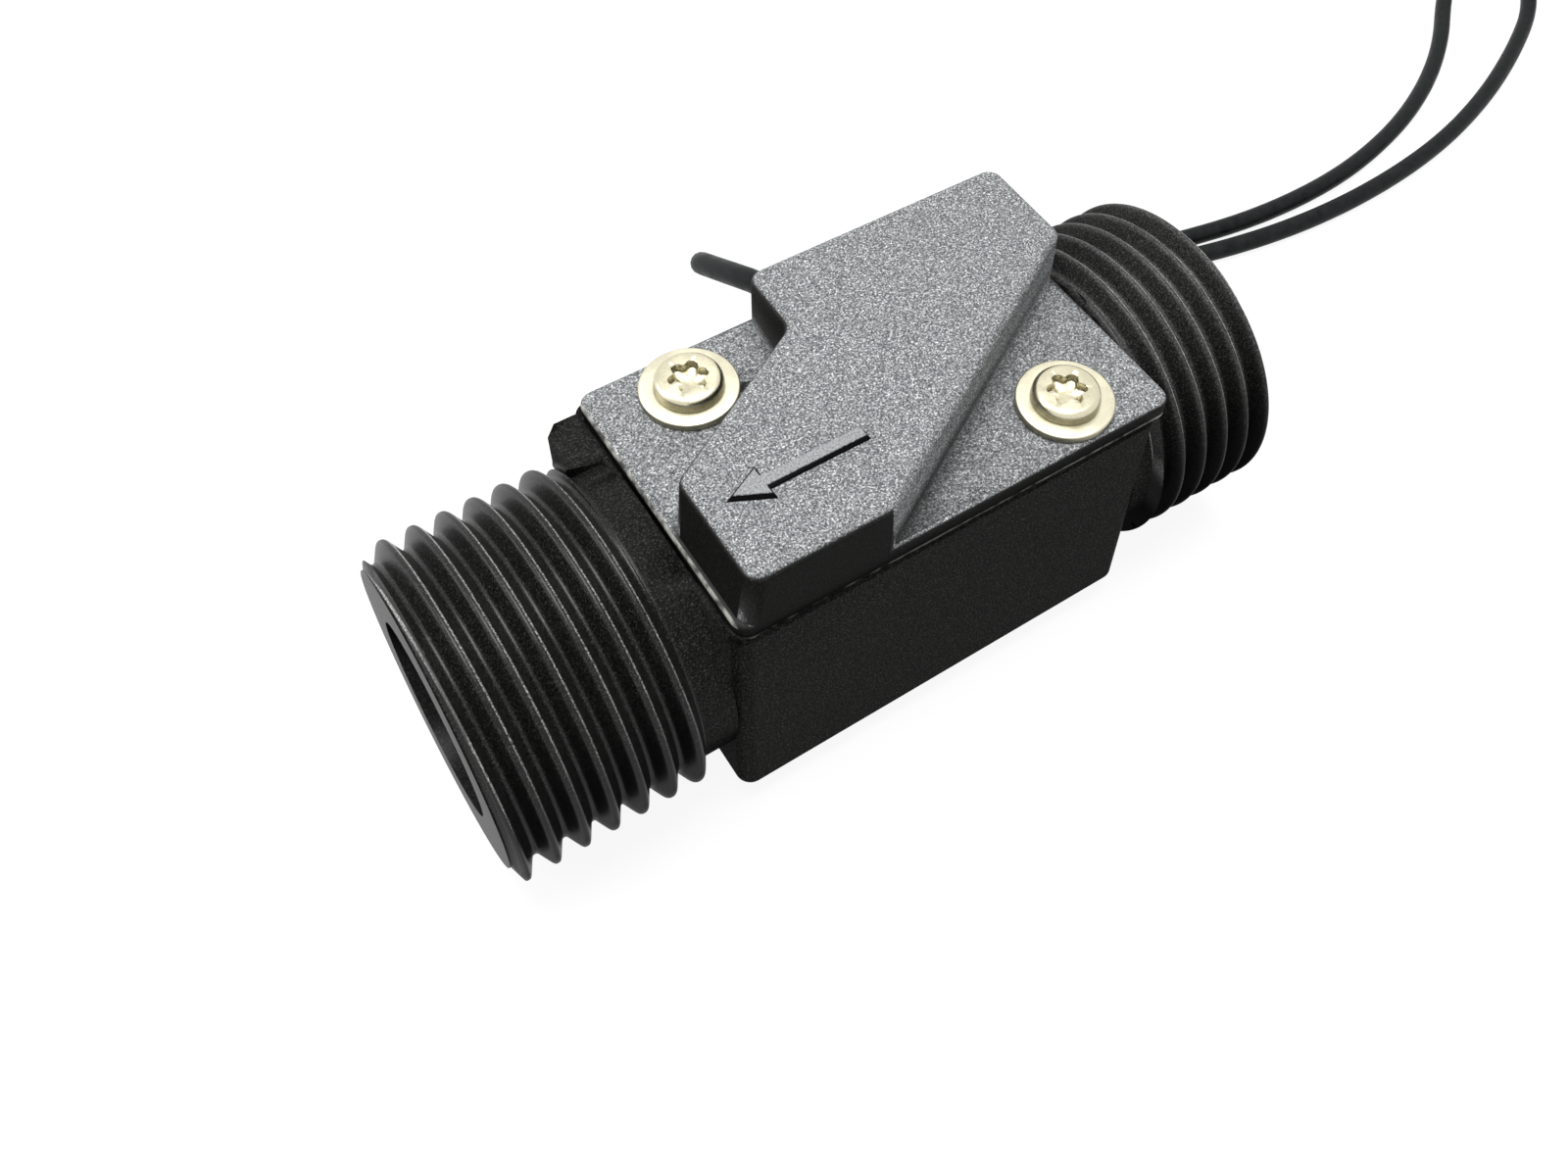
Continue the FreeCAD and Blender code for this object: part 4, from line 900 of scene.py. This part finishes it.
def washer_surface(centre):
    """A flat washer: a rectangle with rounded edges carried round the screw."""
    steps = 6
    turn = corner_turns(steps)
    outer, inner = WASHER_RADIUS - WASHER_CORNER, WASHER_HOLE + WASHER_CORNER
    top, foot = HEAD_SEAT - WASHER_CORNER, PLATE_TOP + WASHER_CORNER
    middle = np.repeat(((outer, top), (inner, top), (inner, foot), (outer, foot)), steps, axis=0)
    radius = middle[:, 0] + WASHER_CORNER * np.cos(turn)
    height = middle[:, 1] + WASHER_CORNER * np.sin(turn)
    return closed_grid(turned_points(radius, height, centre, 96), close_rows=True)


def screw_surface(centre, twist):
    """A pan-head screw with a six-lobe recess, from its tip up and down into the recess. The lobed
    radius at angle a is 1.07 + 0.17 cos 6a - 0.02 cos 12a millimetres, and the shank's thread is a
    cosine wave along its helix."""
    columns = 120
    angle = around(columns)
    shank = np.linspace(SCREW_TIP + 0.3 * MM, PLATE_TOP - 0.6 * MM, 60)
    turns = shank[:, None] / SCREW_PITCH - angle / TURN
    thread = SCREW_RADIUS - SCREW_THREAD_DEPTH * (0.5 + 0.5 * np.cos(TURN * turns))
    rounds = np.linspace(0, math.pi / 2, 8)
    dome = np.stack([DOME_RADIUS + DOME_ROUND * np.cos(rounds),
                     HEAD_TOP - DOME_HEIGHT + DOME_HEIGHT * np.sin(rounds)], axis=1)
    head = np.concatenate([((SCREW_NECK, PLATE_TOP - 0.5 * MM), (SCREW_NECK, HEAD_SEAT),
                            (HEAD_RADIUS - 0.08 * MM, HEAD_SEAT), (HEAD_RADIUS, HEAD_SEAT + 0.06 * MM),
                            (HEAD_RADIUS, HEAD_SEAT + 0.22 * MM)), dome])
    lobes = (1.07 + 0.17 * np.cos(6 * (angle + twist)) - 0.02 * np.cos(12 * (angle + twist))) * MM
    recess = np.array(((1.05, 0.0), (1.0, 0.05), (0.97, 0.62), (0.86, 0.70), (0.45, 0.78)))
    share, depth = recess[:, :1], recess[:, 1] * MM
    tip = np.full((1, columns), SCREW_TIP_RADIUS)
    radius = np.concatenate([tip, thread, head[:, :1] + 0 * angle, share * lobes])
    height = np.concatenate([[SCREW_TIP], shank, head[:, 1], HEAD_TOP - depth])
    return closed_grid(turned_points(radius, height, centre, columns))


def make_fixings():
    places = screw_places()
    washers = mesh_piece("washer_pair", [washer_surface(centre) for centre in places])
    smooth(washers, 40, weighted=True)
    dress(washers, pale_steel("washer_steel", (0.74, 0.70, 0.53), 0.36), "washer_steel", "screw_washers")
    screws = mesh_piece("cover_screw_pair", [screw_surface(*screw) for screw in zip(places, SCREW_TWISTS)])
    smooth(screws, 40, weighted=True)
    dress(screws, pale_steel("screw_steel", (0.78, 0.73, 0.54), 0.26), "screw_steel", "cover_screws")


# Pieces inside that keep their CAD shape

def finish_inside():
    finishes = {
        "cover_seal": even_finish("seal_rubber", (0.02, 0.02, 0.02), 0.6),
        "seat_ring": even_finish("seat_plastic", (0.78, 0.78, 0.74), 0.35),
        "hinge_carrier": even_finish("carrier_plastic", (0.76, 0.76, 0.72), 0.38),
        "hinge_pin": even_finish("pin_steel", (0.7, 0.7, 0.7), 0.2, 1.0, 0.3 * MM),
        "flap": even_finish("flap_plastic", (0.8, 0.8, 0.76), 0.36),
        "magnet_cap": even_finish("cap_plastic", (0.8, 0.8, 0.76), 0.4),
        "flap_magnet": even_finish("magnet_black", (0.1, 0.1, 0.11), 0.55, 0.3, 0.15 * MM),
        "return_spring": even_finish("spring_steel", (0.62, 0.62, 0.62), 0.25, 1.0, 0.2 * MM),
        "reed_glass": reed_glass(),
        "reed_blade_near": even_finish("blade_metal", (0.7, 0.68, 0.62), 0.25, 1.0, 0.2 * MM),
        "reed_blade_far": even_finish("blade_metal_far", (0.7, 0.68, 0.62), 0.25, 1.0, 0.2 * MM),
        "crimp_sleeves": even_finish("crimp_brass", (0.75, 0.68, 0.45), 0.3, 1.0, 0.2 * MM),
        "tail_sleeve": even_finish("sleeve_plastic", (0.84, 0.84, 0.81), 0.4),
        "potting_resin": even_finish("resin", (0.016, 0.016, 0.018), 0.3),
    }
    for name, material in finishes.items():
        node = NODES[name]
        node.data.materials.clear()
        node.data.materials.append(material)


make_studio()
make_leads()
make_body()
make_cover()
make_arrow()
make_fixings()
finish_inside()
